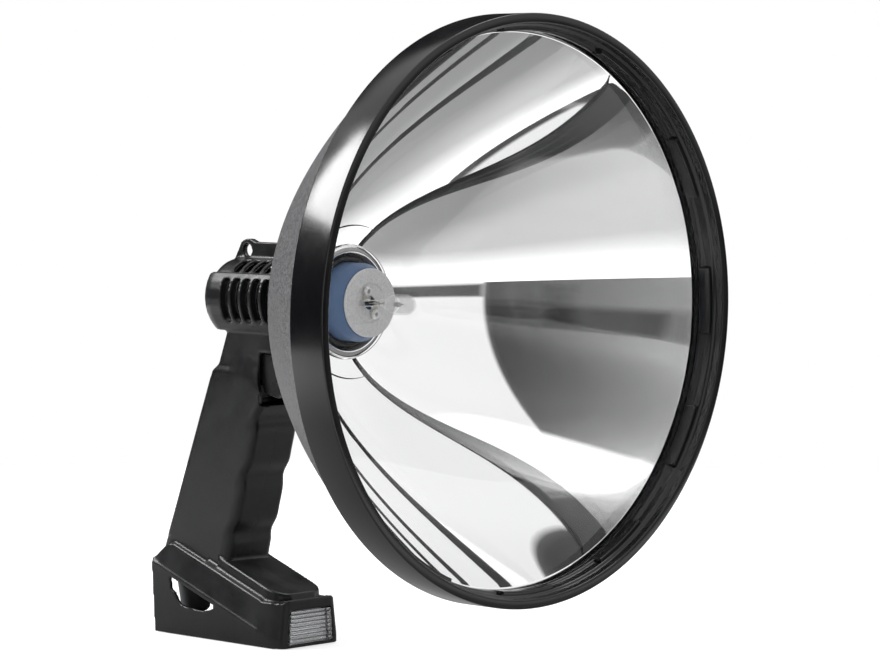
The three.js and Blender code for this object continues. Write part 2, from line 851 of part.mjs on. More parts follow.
// Eyelet with a flanged head over the contact strip and a tail in the socket
function contactRivet([x, z]) {
  const seat = depthY(plateFront + plateRecessDepth) - clipThickness - 2 * fitGap;
  const tailEnd = depthY(plateFront + plateThickness) + rivetTail;
  const head = rodY(rivetRadius, seat - rivetHeight, seat, x, z, tinyFacets);
  const tail = rodY(rivetTailRadius, seat - rivetHeight / 2, tailEnd, x, z, tinyFacets);
  const bore = rodY(rivetBore, seat - rivetHeight - cutOverrun, seat, x, z, tinyFacets);
  return cut(joined(head, tail), bore);
}

// Bent strip: a foot under the rivet's head and a jaw that reaches forward beside the pins
function contactClip([x, z]) {
  const side = Math.sign(z - beamHeight);
  const back = depthY(plateFront + plateRecessDepth) - fitGap;
  const front = back - clipThickness;
  const jawLow = beamHeight + (side * clipGap) / 2;
  const jawHigh = jawLow + side * clipThickness;
  const outer = z + (side * clipWidth) / 2;
  const foot = block(
    [x - clipWidth / 2, front, Math.min(jawLow, outer)],
    [x + clipWidth / 2, back, Math.max(jawLow, outer)],
  );
  const jaw = block(
    [-clipReach, front - clipForward, Math.min(jawLow, jawHigh)],
    [Math.max(x + clipWidth / 2, clipWidth), back, Math.max(jawLow, jawHigh)],
  );
  const hole = rodY(
    rivetTailRadius + fitGap,
    front - cutOverrun,
    back + cutOverrun,
    x,
    z,
    tinyFacets,
  );
  return cut(joined(foot, jaw), hole);
}

// Fan of clear glass that closes the capsule and carries the pins
function bulbPinch() {
  const ring = (depth, width, height) =>
    evenSteps(0, 2 * Math.PI, smallFacets)
      .slice(0, -1)
      .map((angle) => [
        (width / 2) * Math.cos(angle),
        depthY(depth),
        beamHeight + (height / 2) * Math.sin(angle),
      ]);
  const front = pinchStart - pinchLength;
  const plug = capsuleRadius - capsuleWall - fitGap;
  return lofted([
    ring(pinchStart, pinchNarrowWidth, pinchNarrowHeight),
    ring(front + pinchLength / 3, pinchWideWidth, pinchWideHeight - 1.5 * capsuleWall),
    ring(front, pinchWideWidth, pinchWideHeight),
    ring(front - fitGap, 2 * plug, 2 * plug),
    ring(front - 2 * fitGap, 2 * plug, 2 * plug),
  ]);
}

// Glass cup, open at the pinch, with a round end and a small sealed tip
function bulbEnvelope() {
  const mouth = pinchStart - pinchLength - 2 * fitGap;
  const shoulder = capsuleTip + capsuleRadius;
  const inner = capsuleRadius - capsuleWall;
  const dome = (radius, count) =>
    evenSteps(0, Math.PI / 2, count).map((angle) => [
      radius * Math.cos(angle),
      shoulder - radius * Math.sin(angle),
    ]);
  const outside = dome(capsuleRadius, 4).slice(0, -1);
  const inside = dome(inner, 4).slice(0, -1).reverse();
  return turnedAboutBeam(
    [
      [inner, mouth],
      [capsuleRadius, mouth],
      ...outside,
      [capsuleWall, capsuleTip],
      [0, capsuleTip - capsuleWall],
      [0, shoulder - inner],
      ...inside,
      [inner, mouth],
    ],
    smallFacets,
  );
}

// Coil along the beam, with both ends led back to the pinch
function bulbFilament() {
  const start = depthY(filamentDepth + filamentLength / 2);
  const steps = filamentTurns * 6;
  const coil = evenSteps(0, 1, steps).map((share) => {
    const angle = 2 * Math.PI * filamentTurns * share;
    return [
      filamentRadius * Math.cos(angle),
      start - filamentLength * share,
      beamHeight + filamentRadius * Math.sin(angle),
    ];
  });
  const foot = depthY(pinchStart - pinchLength - 2 * fitGap) - fitGap;
  const clear = filamentRadius + 5 * filamentWire;
  const places = [
    [filamentRadius, foot, beamHeight],
    ...coil,
    [clear, start - filamentLength - filamentWire, beamHeight],
    [clear + filamentWire, start - filamentLength / 2, beamHeight],
    [clear + filamentWire, foot, beamHeight],
  ];
  return tubeAlong(places, filamentWire, 5, steps + 14);
}

const bulbPin = (x) =>
  rodY(
    pinRadius,
    depthY(pinchStart) + fitGap,
    depthY(pinEnd),
    x,
    beamHeight,
    tinyFacets,
  );

// Handle outside

const cheekEnd = barrelEnd - barrelEndRound;

function barrelOutside() {
  const core = turnedAboutBeam(
    [
      [0, noseDepth],
      [noseRadius - noseEdge, noseDepth],
      [noseRadius, noseDepth + noseEdge],
      [noseRadius, threadStart],
      [threadRadius, threadStart + noseEdge],
      [threadRadius, threadEnd],
      [barrelCoreRadius, threadEnd],
      [barrelCoreRadius, cheekEnd],
      ...endRound(barrelCoreRadius),
      [0, barrelEnd],
    ],
    barrelFacets,
  );
  const cheekRing = turnedAboutBeam(
    [
      [barrelBore, threadEnd - noseEdge],
      [barrelRadius, threadEnd - noseEdge],
      [barrelRadius, cheekEnd],
      ...endRound(barrelRadius),
      [barrelBore, barrelEnd],
      [barrelBore, threadEnd - noseEdge],
    ],
    barrelFacets,
  );
  const cheeks = [-1, 1].map((side) => cheekRing.intersect(cheekWedge(side)));
  return joined(core, ...cheeks);
}

// Quarter round that ends the barrel, from the given radius inwards
const endRound = (radius) =>
  evenSteps(20, 80, 3).map((angle) => [
    radius - barrelEndRound * (1 - Math.cos(angle * degrees)),
    cheekEnd + barrelEndRound * Math.sin(angle * degrees),
  ]);

function cheekWedge(side) {
  const reach = 2 * barrelRadius;
  const at = (angle) => [
    side * reach * Math.cos(angle * degrees),
    beamHeight + reach * Math.sin(angle * degrees),
  ];
  const outline = [[0, beamHeight], at(cheekBottomAngle), at(0), at(cheekTopAngle)];
  return prismY(outline, depthY(threadEnd - cutOverrun), depthY(barrelEnd + cutOverrun));
}

// Hanging lug: outline of the fin, in shares of its height above the core and its length
function hangingLug() {
  const place = (depth, height) => [depthY(depth), beamHeight + height];
  const base = barrelCoreRadius - barrelEndRound / 2;
  const rear = barrelEnd - barrelEndRound / 2;
  return prismX(
    [
      place(lugFront, base),
      place(rear, base),
      place(rear + rimEdge, base + rimEdge),
      place(lugHoleDepth + 1.33 * lugHoleRadius, lugFlat),
      place(lugHoleDepth + 0.7 * lugHoleRadius, lugCrest - rimEdge / 2),
      place(lugHoleDepth, lugCrest),
      place(lugHoleDepth - 0.8 * lugHoleRadius, lugCrest - rimEdge / 4),
      place(lugHoleDepth - 1.8 * lugHoleRadius, lugFlat),
      place(lugFront, lugFlat),
    ],
    -lugThickness / 2,
    lugThickness / 2,
  );
}

// Half outline of a grip section: shares of the half width, and of the way from rear to front
const gripOutlineShares = [
  [0, 0],
  [0.71, 0],
  [0.86, 0.014],
  [0.96, 0.05],
  [1, 0.1],
  [1, 0.88],
  [0.97, 0.94],
  [0.9, 0.98],
  [0.78, 1],
  [0, 1],
];

const gripRear = (height) => gripRearAtFoot - gripRearSlope * (height - gripFootHeight);
function gripFront(height) {
  const line = gripFrontAtFoot - gripFrontSlope * (height - gripFootHeight);
  const phase = (2 * Math.PI * (height - gripFootHeight - fingerRise)) / fingerPitch;
  return line - fingerHeight * Math.cos(phase - fingerSkewShare * (1 - Math.cos(phase)));
}

// One closed ring of a grip section, drawn in by the given wall
function gripRing(height, rear, front, halfWidth, wall) {
  const [back, forward] = [rear - wall, front + wall];
  const side = gripOutlineShares.map(([across, along]) => [
    across * (halfWidth - wall),
    back + (forward - back) * along,
    height,
  ]);
  const other = side
    .slice(1, -1)
    .reverse()
    .map(([x, y, z]) => [-x, y, z]);
  return [...side, ...other];
}

// Grip body, from inside the foot to inside the barrel, drawn in by the given wall
function gripBody(wall, floor) {
  const step = fingerPitch / gripLevelsPerFinger;
  const levels = [floor];
  const lowest = gripFootHeight + fingerRise - (gripLevelsPerFinger / 2) * step;
  for (let height = lowest; height < gripShoulderHeight; height += step) levels.push(height);
  const rings = levels
    .filter((height, i) => i === 0 || height > floor)
    .map((height) => gripRing(height, gripRear(height), gripFront(height), gripHalfWidth, wall));
  const shoulder = gripRing(
    gripShoulderHeight,
    gripRear(gripShoulderHeight),
    depthY(neckFrontDepth) + neckFrontInset,
    gripHalfWidth,
    wall,
  );
  const neckRear = gripRear(gripShoulderHeight) - neckRearInset;
  const neckRise = gripTopHeight - gripShoulderHeight;
  const necks = [neckFrontInset / neckRise, 1].map((share) =>
    gripRing(
      gripShoulderHeight + share * neckRise,
      neckRear - share * neckRearLean,
      depthY(neckFrontDepth),
      neckHalfWidth,
      wall,
    ),
  );
  return lofted([...rings, shoulder, ...necks]);
}

// Foot outside

const lowerRidge = (y) => lowerRidgeHeight + footSlope * y;
const plateauTop = (y) => plateauHeight + footSlope * y;

// Half width of the foot, drawn in round its front corners
function footWidthAt(y) {
  const into = Math.max(0, footFront + frontCornerLength - y) / frontCornerLength;
  return footHalfWidth - frontCornerWidth * (1 - Math.sqrt(Math.max(0, 1 - into ** 2)));
}

// Inset of the upper ridge round the foot's rear corners
function rearInsetAt(y) {
  const into = Math.max(0, y - (footRear - rearCornerLength)) / rearCornerLength;
  return rearCornerWidth * (1 - Math.sqrt(Math.max(0, 1 - into ** 2)));
}

const plateauShoulder = plateauFront + plateauCornerLength;
const plateauRear = gripFrontAtFoot + plateauReach;
const shelfFront = footFront + frontLipWidth;

// Half width of the plateau in front of the grip, which is rounded off towards the front
function plateauHalfAt(y) {
  const into = Math.min(1, Math.max(0, plateauShoulder - y) / plateauCornerLength);
  return footHalfWidth - plateauInset - plateauCornerWidth * (1 - Math.sqrt(1 - into ** 2));
}

// Ridge along the band, level with the front edge where the slope would fall below it
const ridgeAt = (y) =>
  Math.min(Math.max(upperRidgeHeight + footSlope * y, frontEdgeHeight - rimEdge), footTopHeight);

// Middle of the foot's top: a lip at the front, a low shelf, the plateau, and a valley by the grip
function footTopAt(y, width) {
  const edge = width - bandLean - ledgeWidth - rearInsetAt(y);
  const low = ridgeAt(y) - ledgeDip;
  if (y <= shelfFront) return { half: edge, low: ridgeAt(y), high: frontEdgeHeight };
  if (y < plateauFront) return { half: plateauHalfAt(y), low, high: low };
  if (y <= plateauRear) return { half: plateauHalfAt(y), low, high: plateauTop(y) };
  return { half: footHalfWidth - plateauInset - rearInsetAt(y), low, high: low };
}

function footRing(y) {
  const width = footWidthAt(y);
  const lean = bandLean + rearInsetAt(y);
  const ridge = ridgeAt(y);
  const top = footTopAt(y, width);
  const round = Math.min(soleProud, (top.high - top.low) / 2);
  const half = [
    [width, soleProud],
    [width, Math.max(lowerRidge(y), bayFloor)],
    [width - lean, ridge],
    [width - lean - ledgeWidth / 2, top.low + ledgeDip / 4],
    [Math.min(top.half + round + ledgeDip / 4, width - lean - ledgeWidth), top.low],
    [top.half, top.high - round],
    [top.half - soleProud, top.high],
  ];
  const right = half.map(([x, z]) => [x, y, z]);
  const left = half.map(([x, z]) => [-x, y, z]).reverse();
  return [...right, ...left];
}

function footOutside() {
  const cornerSteps = evenSteps(0, 1, 4).map(
    (share) => footFront + frontCornerLength * (1 - Math.cos((share * Math.PI) / 2)),
  );
  const ridgeFlat = (frontEdgeHeight - rimEdge - upperRidgeHeight) / footSlope;
  const rearSteps = evenSteps(0, 1, 4).map(
    (share) => footRear - rearCornerLength * (1 - Math.sin((share * Math.PI) / 2)),
  );
  const plateauSteps = evenSteps(0, 1, 4).map(
    (share) => plateauShoulder - plateauCornerLength * Math.sin((share * Math.PI) / 2),
  );
  const stations = [
    ...cornerSteps,
    shelfFront,
    shelfFront + ledgeDip,
    plateauFront - plateauStep,
    ...plateauSteps,
    ridgeFlat,
    plateauRear,
    plateauRear + soleProud,
    ...rearSteps,
    footRearTop + rimEdge,
  ];
  stations.sort((a, b) => a - b);
  const rearCut = prismX(
    [
      [footRear, soleProud - cutOverrun],
      [footRear, soleProud],
      [footRearTop, footShoulderHeight],
      [footBrowRear, footBrowHeight],
      [footTopRear, footTopHeight],
      [footTopRear, footTopHeight + cutOverrun],
      [footRearTop + cutOverrun, footTopHeight + cutOverrun],
      [footRearTop + cutOverrun, soleProud - cutOverrun],
    ],
    -footHalfWidth - cutOverrun,
    footHalfWidth + cutOverrun,
  );
  return cut(lofted(stations.map(footRing)), rearCut);
}

// Hollows of the handle

function ventCuts() {
  const cuts = [];
  for (let i = 0; i < ventCount; i += 1) {
    const rear = ventRearDepth - i * ventPitch;
    const [low, high] = [depthY(rear - ventWidth), depthY(rear)];
    const outline = [
      [low + ventRound, beamHeight + ventBottom],
      [high - ventRound, beamHeight + ventBottom],
      [high, beamHeight + ventBottom + ventRound],
      [high, beamHeight + ventTop - ventRound],
      [high - ventRound, beamHeight + ventTop],
      [low + ventRound, beamHeight + ventTop],
      [low, beamHeight + ventTop - ventRound],
      [low, beamHeight + ventBottom + ventRound],
    ];
    const inner = barrelBore / 2;
    cuts.push(prismX(outline, inner, barrelRadius + cutOverrun));
    cuts.push(prismX(outline, -barrelRadius - cutOverrun, -inner));
    const crown = [
      [crownVentInner, barrelBore / 2],
      [crownVentOuter, barrelBore / 2],
      [crownVentOuter, barrelRadius],
      [crownVentInner, barrelRadius],
    ];
    [-1, 1].forEach((side) => {
      const points = crown.map(([x, z]) => [side * x, beamHeight + z]);
      cuts.push(prismY(points, low, high));
    });
  }
  return cuts;
}

function boreCuts() {
  const bore = turnedAboutBeam(
    [
      [0, noseDepth - cutOverrun],
      [socketBore, noseDepth - cutOverrun],
      [socketBore, socketFlangeStart - fitGap],
      [socketFlangeRadius + fitGap, socketFlangeStart - fitGap],
      [socketFlangeRadius + fitGap, socketFlangeStart + socketFlangeThickness + fitGap],
      [socketBore, socketFlangeStart + socketFlangeThickness + fitGap],
      [socketBore, socketEnd + fitGap],
      [barrelBore, socketEnd + fitGap],
      [barrelBore, barrelEnd - barrelEndWall],
      [0, barrelEnd - barrelEndWall],
    ],
    barrelFacets,
  );
  const grooves = [-1, 1].map((side) => {
    const ends = [threadRadius - brakeKeyDepth - fitGap, threadRadius + cutOverrun];
    const [low, high] = ends.map((r) => side * r).sort((a, b) => a - b);
    const halfWidth = brakeKeyWidth / 2 + fitGap;
    return block(
      [low, depthY(threadStart) + noseEdge, beamHeight - halfWidth],
      [high, depthY(threadEnd) + fitGap, beamHeight + halfWidth],
    );
  });
  return [bore, ...grooves];
}

// D-shaped side window of the foot: shares of its length from the front, and of its drop
const windowOutlineShares = [
  [0, 0],
  [0.1, 0.28],
  [0.24, 0.55],
  [0.42, 0.74],
  [0.62, 0.93],
  [0.76, 1],
  [0.84, 0.84],
  [0.9, 0.62],
  [0.985, 0.54],
  [1, 0],
];
const bayCeiling = (y) => bayCeilingHeight + footSlope * y;

function bayCuts() {
  const half = footHalfWidth - bayWall;
  const rear = footRearTop + cutOverrun;
  const bay = prismX(
    [
      [bayFront, bayFloor],
      [rear, bayFloor],
      [rear, bayCeiling(footRearTop)],
      [footRearTop, bayCeiling(footRearTop)],
      [bayFront, bayCeiling(bayFront)],
    ],
    -half,
    half,
  );
  const outline = windowOutlineShares.map(([along, down]) => {
    const y = windowFront + along * windowLength;
    return [y, bayCeiling(y) - down * windowDrop];
  });
  const windows = prismX(outline, -footHalfWidth - cutOverrun, footHalfWidth + cutOverrun);
  return [bay, windows];
}

function glandCuts() {
  const stem = turnedAboutZ(
    [
      [0, bayFloor],
      [glandStemRadius + fitGap, bayFloor],
      [glandStemRadius + fitGap, gripCavityFloor + cutOverrun],
      [0, gripCavityFloor + cutOverrun],
    ],
    smallFacets,
    0,
    glandPlace,
  );
  return [stem];
}

function mapLightCuts() {
  const pocket = block(
    [-mapPocketHalf, footFront + footWall, bayFloor - solePadThickness / 2],
    [mapPocketHalf, mapPocketRear, mapWindowHigh + rimEdge],
  );
  const window = prismY(
    [
      [-mapWindowBottomHalf, mapWindowLow],
      [mapWindowBottomHalf, mapWindowLow],
      [mapWindowTopHalf, mapWindowHigh],
      [-mapWindowTopHalf, mapWindowHigh],
    ],
    footFront - cutOverrun,
    footFront + footWall + cutOverrun / 2,
  );
  return [pocket, window];
}

const triggerPocketHalf = triggerHalfWidth + triggerPocketGap;

function triggerCuts() {
  const pocket = block(
    [-triggerPocketHalf, depthY(triggerFrontDepth) - cutOverrun, triggerPocketFloor],
    [triggerPocketHalf, depthY(switchDepthStart), triggerPocketTop],
  );
  const pin = rodX(
    triggerPinRadius + fitGap,
    -triggerPinHalfLength - fitGap,
    triggerPinHalfLength + fitGap,
    depthY(triggerPivotDepth),
    triggerPivotHeight,
  );
  return [pocket, pin, triggerRelief()];
}

// The handle's side walls are cut back beside the trigger, whose sides show there
const triggerRelief = () =>
  block(
    [-gripHalfWidth - cutOverrun, depthY(triggerFrontDepth) - cutOverrun, triggerPocketFloor],
    [gripHalfWidth + cutOverrun, depthY(reliefDepth), triggerPocketTop],
  );

// Walls round the trigger's pocket, which also hold the ends of its pin
const triggerHousing = () =>
  block(
    [
      -triggerHousingHalf,
      depthY(triggerHousingFront),
      triggerPocketFloor - triggerHousingWall,
    ],
    [
      triggerHousingHalf,
      depthY(switchDepthStart),
      triggerPocketTop + triggerHousingWall,
    ],
  );

function solePadCut() {
  const half = footHalfWidth - solePadInset + fitGap;
  return block(
    [-half, solePadFront - fitGap, -cutOverrun],
    [half, solePadRear + fitGap, solePadThickness + fitGap],
  );
}

// Screws across the two halves: name, y, z, and the half length of the boss they stand in
const neckScrewY = gripRear(gripShoulderHeight) - 1.2 * gripWall;
const [lowGripScrewZ, highGripScrewZ] = [2 * fingerPitch, 3 * fingerPitch];
const screws = [
  ["barrel_screw", depthY(barrelEnd) - 2 * screwBossRadius, beamHeight, barrelRadius - bandLean],
  ["neck_screw", neckScrewY, switchBottom + gripWall, neckHalfWidth],
  ["upper_grip_screw", gripRear(highGripScrewZ) - 3 * gripWall, highGripScrewZ, gripHalfWidth],
  ["lower_grip_screw", gripFront(lowGripScrewZ) + 3 * gripWall, lowGripScrewZ, gripHalfWidth],
  ["front_foot_screw", (mapPocketRear + bayFront) / 2, bayCeilingHeight, footHalfWidth],
  ["rear_foot_screw", footRear / 2, gripCavityFloor - screwBossRadius, footHalfWidth - bandLean],
];

function screwBosses() {
  return screws.map(([, y, z, half]) => {
    const reach = half - gripWall / 2;
    return rodX(screwBossRadius, -reach, reach, y, z);
  });
}

const screwHeadPlace = (half) => half - gripWall;

function screwCuts() {
  return screws.flatMap(([, y, z, half]) => [
    rodX(screwRadius + fitGap, -half + screwTipInset - fitGap, half, y, z, tinyFacets),
    rodX(screwHeadRadius + fitGap, screwHeadPlace(half) - fitGap, half + cutOverrun, y, z),
  ]);
}

function handleScrew([, y, z, half]) {
  const seat = screwHeadPlace(half);
  const shankEnds = [-half + screwTipInset, seat + screwHeadHeight / 2];
  const shank = rodX(screwRadius, ...shankEnds, y, z, tinyFacets);
  const head = rodX(screwHeadRadius, seat, seat + screwHeadHeight, y, z);
  const slots = [0, 1].map((turn) => {
    const [across, up] = turn ? [screwSlotWidth, screwHeadRadius] : [screwHeadRadius, screwSlotWidth];
    return block(
      [seat + screwHeadHeight - screwSlotDepth, y - across / 2, z - up / 2],
      [seat + screwHeadHeight + cutOverrun, y + across / 2, z + up / 2],
    );
  });
  return cut(joined(shank, head), ...slots);
}

// Switch and its ribs

const switchStart = depthY(switchDepthStart);
const switchEnd = switchStart + switchLength;

function switchBody() {
  const body = block(
    [-switchHalfWidth, switchStart + fitGap, switchBottom],
    [switchHalfWidth, switchEnd, switchTop],
  );
  const hole = rodY(
    plungerRadius + fitGap,
    switchStart - cutOverrun,
    switchEnd - switchLength / 3,
    0,
    triggerFingerHeight,
    tinyFacets,
  );
  return joined(cut(body, hole), ...terminalPlaces().map(([x, z]) => terminal(x, z)));
}

const terminalPlaces = () =>
  [switchTop - terminalWidth, switchBottom + terminalWidth].map((z) => [0, z]);

const terminal = (x, z) =>
  block(
    [x - terminalWidth / 2, switchEnd - fitGap, z - terminalThickness / 2],
    [x + terminalWidth / 2, switchEnd + terminalLength, z + terminalThickness / 2],
  );

// Shelves above and below the switch, joined to the handle's side walls
function switchShelves() {
  const half = gripHalfWidth - gripWall / 2;
  const shelf = (z) =>
    block([-half, switchStart + fitGap, z], [half, switchEnd - fitGap, z + gripWall / 2]);
  return [shelf(switchTop + fitGap), shelf(switchBottom - fitGap - gripWall / 2)];
}

// Handle halves

function handleHalf(whole, side) {
  const far = 2 * footHalfWidth;
  const near = fitGap / 2;
  const [low, high] = side < 0 ? [-far, -near] : [near, far];
  const room = block(
    [low, depthY(noseDepth) - cutOverrun, -cutOverrun],
    [high, footRearTop + cutOverrun, beamHeight + 2 * lugCrest],
  );
  return whole.intersect(room);
}

function handleBody() {
  const grip = gripBody(0, gripCavityFloor - gripWall);
  const outside = joined(barrelOutside(), hangingLug(), grip, footOutside());
  const lugHole = rodX(
    lugHoleRadius,
    -lugThickness,
    lugThickness,
    depthY(lugHoleDepth),
    beamHeight + lugHoleHeight,
  );
  const hollow = cut(
    outside,
    ...boreCuts(),
    gripBody(gripWall, gripCavityFloor),
    ...ventCuts(),
    ...bayCuts(),
    ...glandCuts(),
    ...mapLightCuts(),
    lugHole,
  );
  const inner = joined(...screwBosses(), ...switchShelves(), triggerHousing());
  return cut(
    joined(hollow, inner.intersect(outside)),
    ...triggerCuts(),
    ...screwCuts(),
    solePadCut(),
    leadPassage(),
  );
}

// Trigger

function trigger() {
  const place = (depth, height) => [depthY(depth), height];
  const middle = (triggerTop + triggerBottom) / 2;
  const earBack = triggerPivotDepth + triggerEarRadius;
  const outline = [
    place(earBack - triggerEarRadius / 2, triggerTop),
    place(triggerFrontDepth + 2 * triggerScoop, triggerTop),
    place(triggerFrontDepth + triggerScoop, triggerTop - triggerScoop),
    place(triggerFrontDepth + triggerScoop, middle + triggerScoop),
    place(triggerFrontDepth + triggerScoop / 2, middle - triggerScoop),
    place(triggerFrontDepth, triggerBottom + triggerScoop),
    place(triggerFrontDepth + triggerScoop, triggerBottom),
    place(triggerBackDepth - triggerScoop, triggerBottom + triggerScoop),
    place(triggerBackDepth, middle),
    place(triggerBackDepth + triggerScoop, triggerPivotHeight - triggerEarRadius),
    place(earBack - triggerEarRadius / 2, triggerPivotHeight - triggerEarRadius),
    place(earBack, triggerPivotHeight - triggerEarRadius / 2),
    place(earBack, triggerPivotHeight + triggerEarRadius / 2),
  ];
  const blade = prismX(outline, -triggerHalfWidth, triggerHalfWidth);
  const finger = block(
    [
      -triggerFingerHalfWidth,
      depthY(triggerBackDepth) - triggerScoop,
      triggerFingerHeight - triggerFingerHalfHeight,
    ],
    [
      triggerFingerHalfWidth,
      plungerStart - fitGap,
      triggerFingerHeight + triggerFingerHalfHeight,
    ],
  );
  const bore = rodX(
    triggerPinRadius + runningGap / 2,
    -triggerHalfWidth - cutOverrun,
    triggerHalfWidth + cutOverrun,
    depthY(triggerPivotDepth),
    triggerPivotHeight,
  );
  return cut(joined(blade, finger), bore);
}

const plungerStart = switchStart - plungerLength / 3;

const switchPlunger = () =>
  rodY(
    plungerRadius,
    plungerStart,
    plungerStart + plungerLength,
    0,
    triggerFingerHeight,
    tinyFacets,
  );

const triggerPin = () =>
  rodX(
    triggerPinRadius,
    -triggerPinHalfLength,
    triggerPinHalfLength,
    depthY(triggerPivotDepth),
    triggerPivotHeight,
  );

// Gland, sole and map light

const cableGland = () =>
  turnedAboutZ(
    [
      [glandBore, glandMouthHeight],
      [glandMouthRadius - glandMouthRound, glandMouthHeight],
      [glandMouthRadius, glandMouthHeight + glandMouthRound],
      [glandShoulderRadius, glandShoulderHeight],
      [glandShoulderRadius, glandShoulderHeight + 2 * fitGap],
      [glandStemRadius, glandShoulderHeight + 2 * fitGap],
      [glandStemRadius, glandTop],
      [glandBore, glandTop],
      [glandBore, glandMouthHeight],
    ],
    smallFacets,
    0,
    glandPlace,
  );

function glandNut() {
  const low = gripCavityFloor + fitGap;
  const high = low + glandNutThickness;
  const solid = (radius, start, end) => [
    [0, start],
    [radius, start],
    [radius, end],
    [0, end],
  ];
  const blank = turnedAboutZ(solid(glandNutRadius, low, high), 6, 0, 0);
  const nut = blank.rotate([0, 0, glandNutTurn]).translate([0, glandPlace, 0]);
  const holeRadius = glandStemRadius + fitGap;
  const hole = solid(holeRadius, low - cutOverrun, high + cutOverrun);
  return cut(nut, turnedAboutZ(hole, smallFacets, 0, glandPlace));
}

const solePad = () => {
  const half = footHalfWidth - solePadInset;
  const edge = 2 * soleProud;
  const outline = [
    [-half + edge, solePadFront],
    [half - edge, solePadFront],
    [half, solePadFront + edge],
    [half, solePadRear - edge],
    [half - edge, solePadRear],
    [-half + edge, solePadRear],
    [-half, solePadRear - edge],
    [-half, solePadFront + edge],
  ];
  return prismZ(outline, 0, solePadThickness);
};

const mapPocketLow = bayFloor - solePadThickness / 2;
const mapPocketHigh = mapWindowHigh + rimEdge;

function mapLens() {
  const front = footFront - mapLensProud;
  const seat = footFront + footWall + fitGap;
  const window = prismY(
    [
      [-mapWindowBottomHalf + fitGap, mapWindowLow + fitGap],
      [mapWindowBottomHalf - fitGap, mapWindowLow + fitGap],
      [mapWindowTopHalf - fitGap, mapWindowHigh - fitGap],
      [-mapWindowTopHalf + fitGap, mapWindowHigh - fitGap],
    ],
    front,
    seat + mapLensFlange / 2,
  );
  const half = mapWindowBottomHalf + mapLensLip;
  const flange = block(
    [-half, seat, mapPocketLow + fitGap],
    [half, seat + mapLensFlange, mapPocketHigh - fitGap],
  );
  const pitch = (mapWindowHigh - mapWindowLow - 2 * fitGap) / mapRibCount;
  const ribs = Array.from({ length: mapRibCount }, (_, i) => {
    const low = mapWindowLow + fitGap + pitch * (i + 0.2);
    const back = seat + mapLensFlange;
    return prismX(
      [
        [back - fitGap, low],
        [back - fitGap, low + 0.8 * pitch],
        [back + mapRibDepth, low + 0.4 * pitch],
      ],
      -mapWindowTopHalf + 2 * fitGap,
      mapWindowTopHalf - 2 * fitGap,
    );
  });
  return joined(window, flange, ...ribs);
}

const trayFront = footFront + footWall + mapLensFlange + mapRibDepth + 3 * fitGap;

function mapTray() {
  const half = mapWindowBottomHalf + mapLensLip;
  const [low, high] = [mapPocketLow + fitGap, mapPocketHigh - fitGap];
  const tray = block([-half, trayFront, low], [half, mapTrayRear, high]);
  const middle = (low + high) / 2;
  const bulbHeight = (high - low) / 2 - mapTrayWall;
  const ring = (y, halfWidth, halfHeight) => [
    [-halfWidth, y, middle - halfHeight],
    [halfWidth, y, middle - halfHeight],
    [halfWidth, y, middle + halfHeight],
    [-halfWidth, y, middle + halfHeight],
  ];
  const dish = lofted([
    ring(trayFront - cutOverrun / 2, half - mapTrayWall, bulbHeight),
    ring(trayFront, half - mapTrayWall, bulbHeight),
    ring(mapTrayRear - mapTrayWall, half / 2, bulbHeight * 0.7),
  ]);
  const hole = rodY(
    mapBulbRadius + fitGap,
    trayFront,
    mapTrayRear + cutOverrun,
    0,
    mapMiddle,
    tinyFacets,
  );
  return cut(tray, dish, hole);
}

const mapMiddle = (mapPocketLow + mapPocketHigh) / 2;

function mapBulb() {
  const base = mapTrayRear + mapHolderLength / 3;
  const tip = base - mapBulbLength;
  const profile = [
    [0, base],
    [mapBulbRadius, base],
    ...evenSteps(0, 60, 2).map((angle) => [
      mapBulbRadius * Math.cos(angle * degrees),
      tip + mapBulbRadius * (1 - Math.sin(angle * degrees)),
    ]),
    [0, tip],
  ];
  const points = profile.map(([radius, y]) => new THREE.Vector2(radius, y));
  return solidOf(new THREE.LatheGeometry(points, tinyFacets).translate(0, 0, mapMiddle));
}

function mapHolder() {
  const front = mapTrayRear + fitGap;
  const body = rodY(mapHolderRadius, front, front + mapHolderLength, 0, mapMiddle);
  const well = rodY(
    mapBulbRadius + fitGap,
    front - cutOverrun,
    mapTrayRear + mapHolderLength / 3 + fitGap,
    0,
    mapMiddle,
    tinyFacets,
  );
  return cut(body, well);
}

// Leads

// Passage from the grip's hollow down to the map light's pocket
const passageTop = [0, gripFrontAtFoot + 3 * gripWall, gripCavityFloor + gripWall];
const passageEnd = [0, mapPocketRear - gripWall, mapMiddle];

function leadPassage() {
  const from = new THREE.Vector3(...passageTop);
  const to = new THREE.Vector3(...passageEnd);
  const along = new THREE.Vector3().subVectors(to, from);
  const geometry = new THREE.CylinderGeometry(
    leadPassageRadius,
    leadPassageRadius,
    along.length(),
    leadFacets,
  );
  const upright = new THREE.Vector3(0, 1, 0);
  const turn = new THREE.Quaternion().setFromUnitVectors(upright, along.normalize());
  geometry.applyQuaternion(turn);
  const middle = from.clone().add(to).multiplyScalar(1 / 2);
  return solidOf(geometry.translate(middle.x, middle.y, middle.z));
}

// Places of the two long leads, up the grip's hollow in front of one boss and behind the other
function gripRun(side) {
  const spread = (share) => side * share * gripHalfWidth;
  const [, neckY, neckZ] = screws[1];
  const [, upperY, upperZ] = screws[2];
  const clear = screwBossRadius + 2 * leadRadius;
  return [
    [side * leadSpacing, glandPlace, glandTop + 2 * fitGap],
    [spread(0.15), glandPlace - leadSpacing, glandTop + 3 * leadRadius],
    [spread(0.25), gripRear(upperZ) / 2 + clear, (glandTop + upperZ) / 2],
    [spread(0.3), upperY - 1.8 * clear, upperZ],
    [spread(0.25), neckY - 1.5 * clear, (upperZ + neckZ) / 2 + clear],
  ];
}

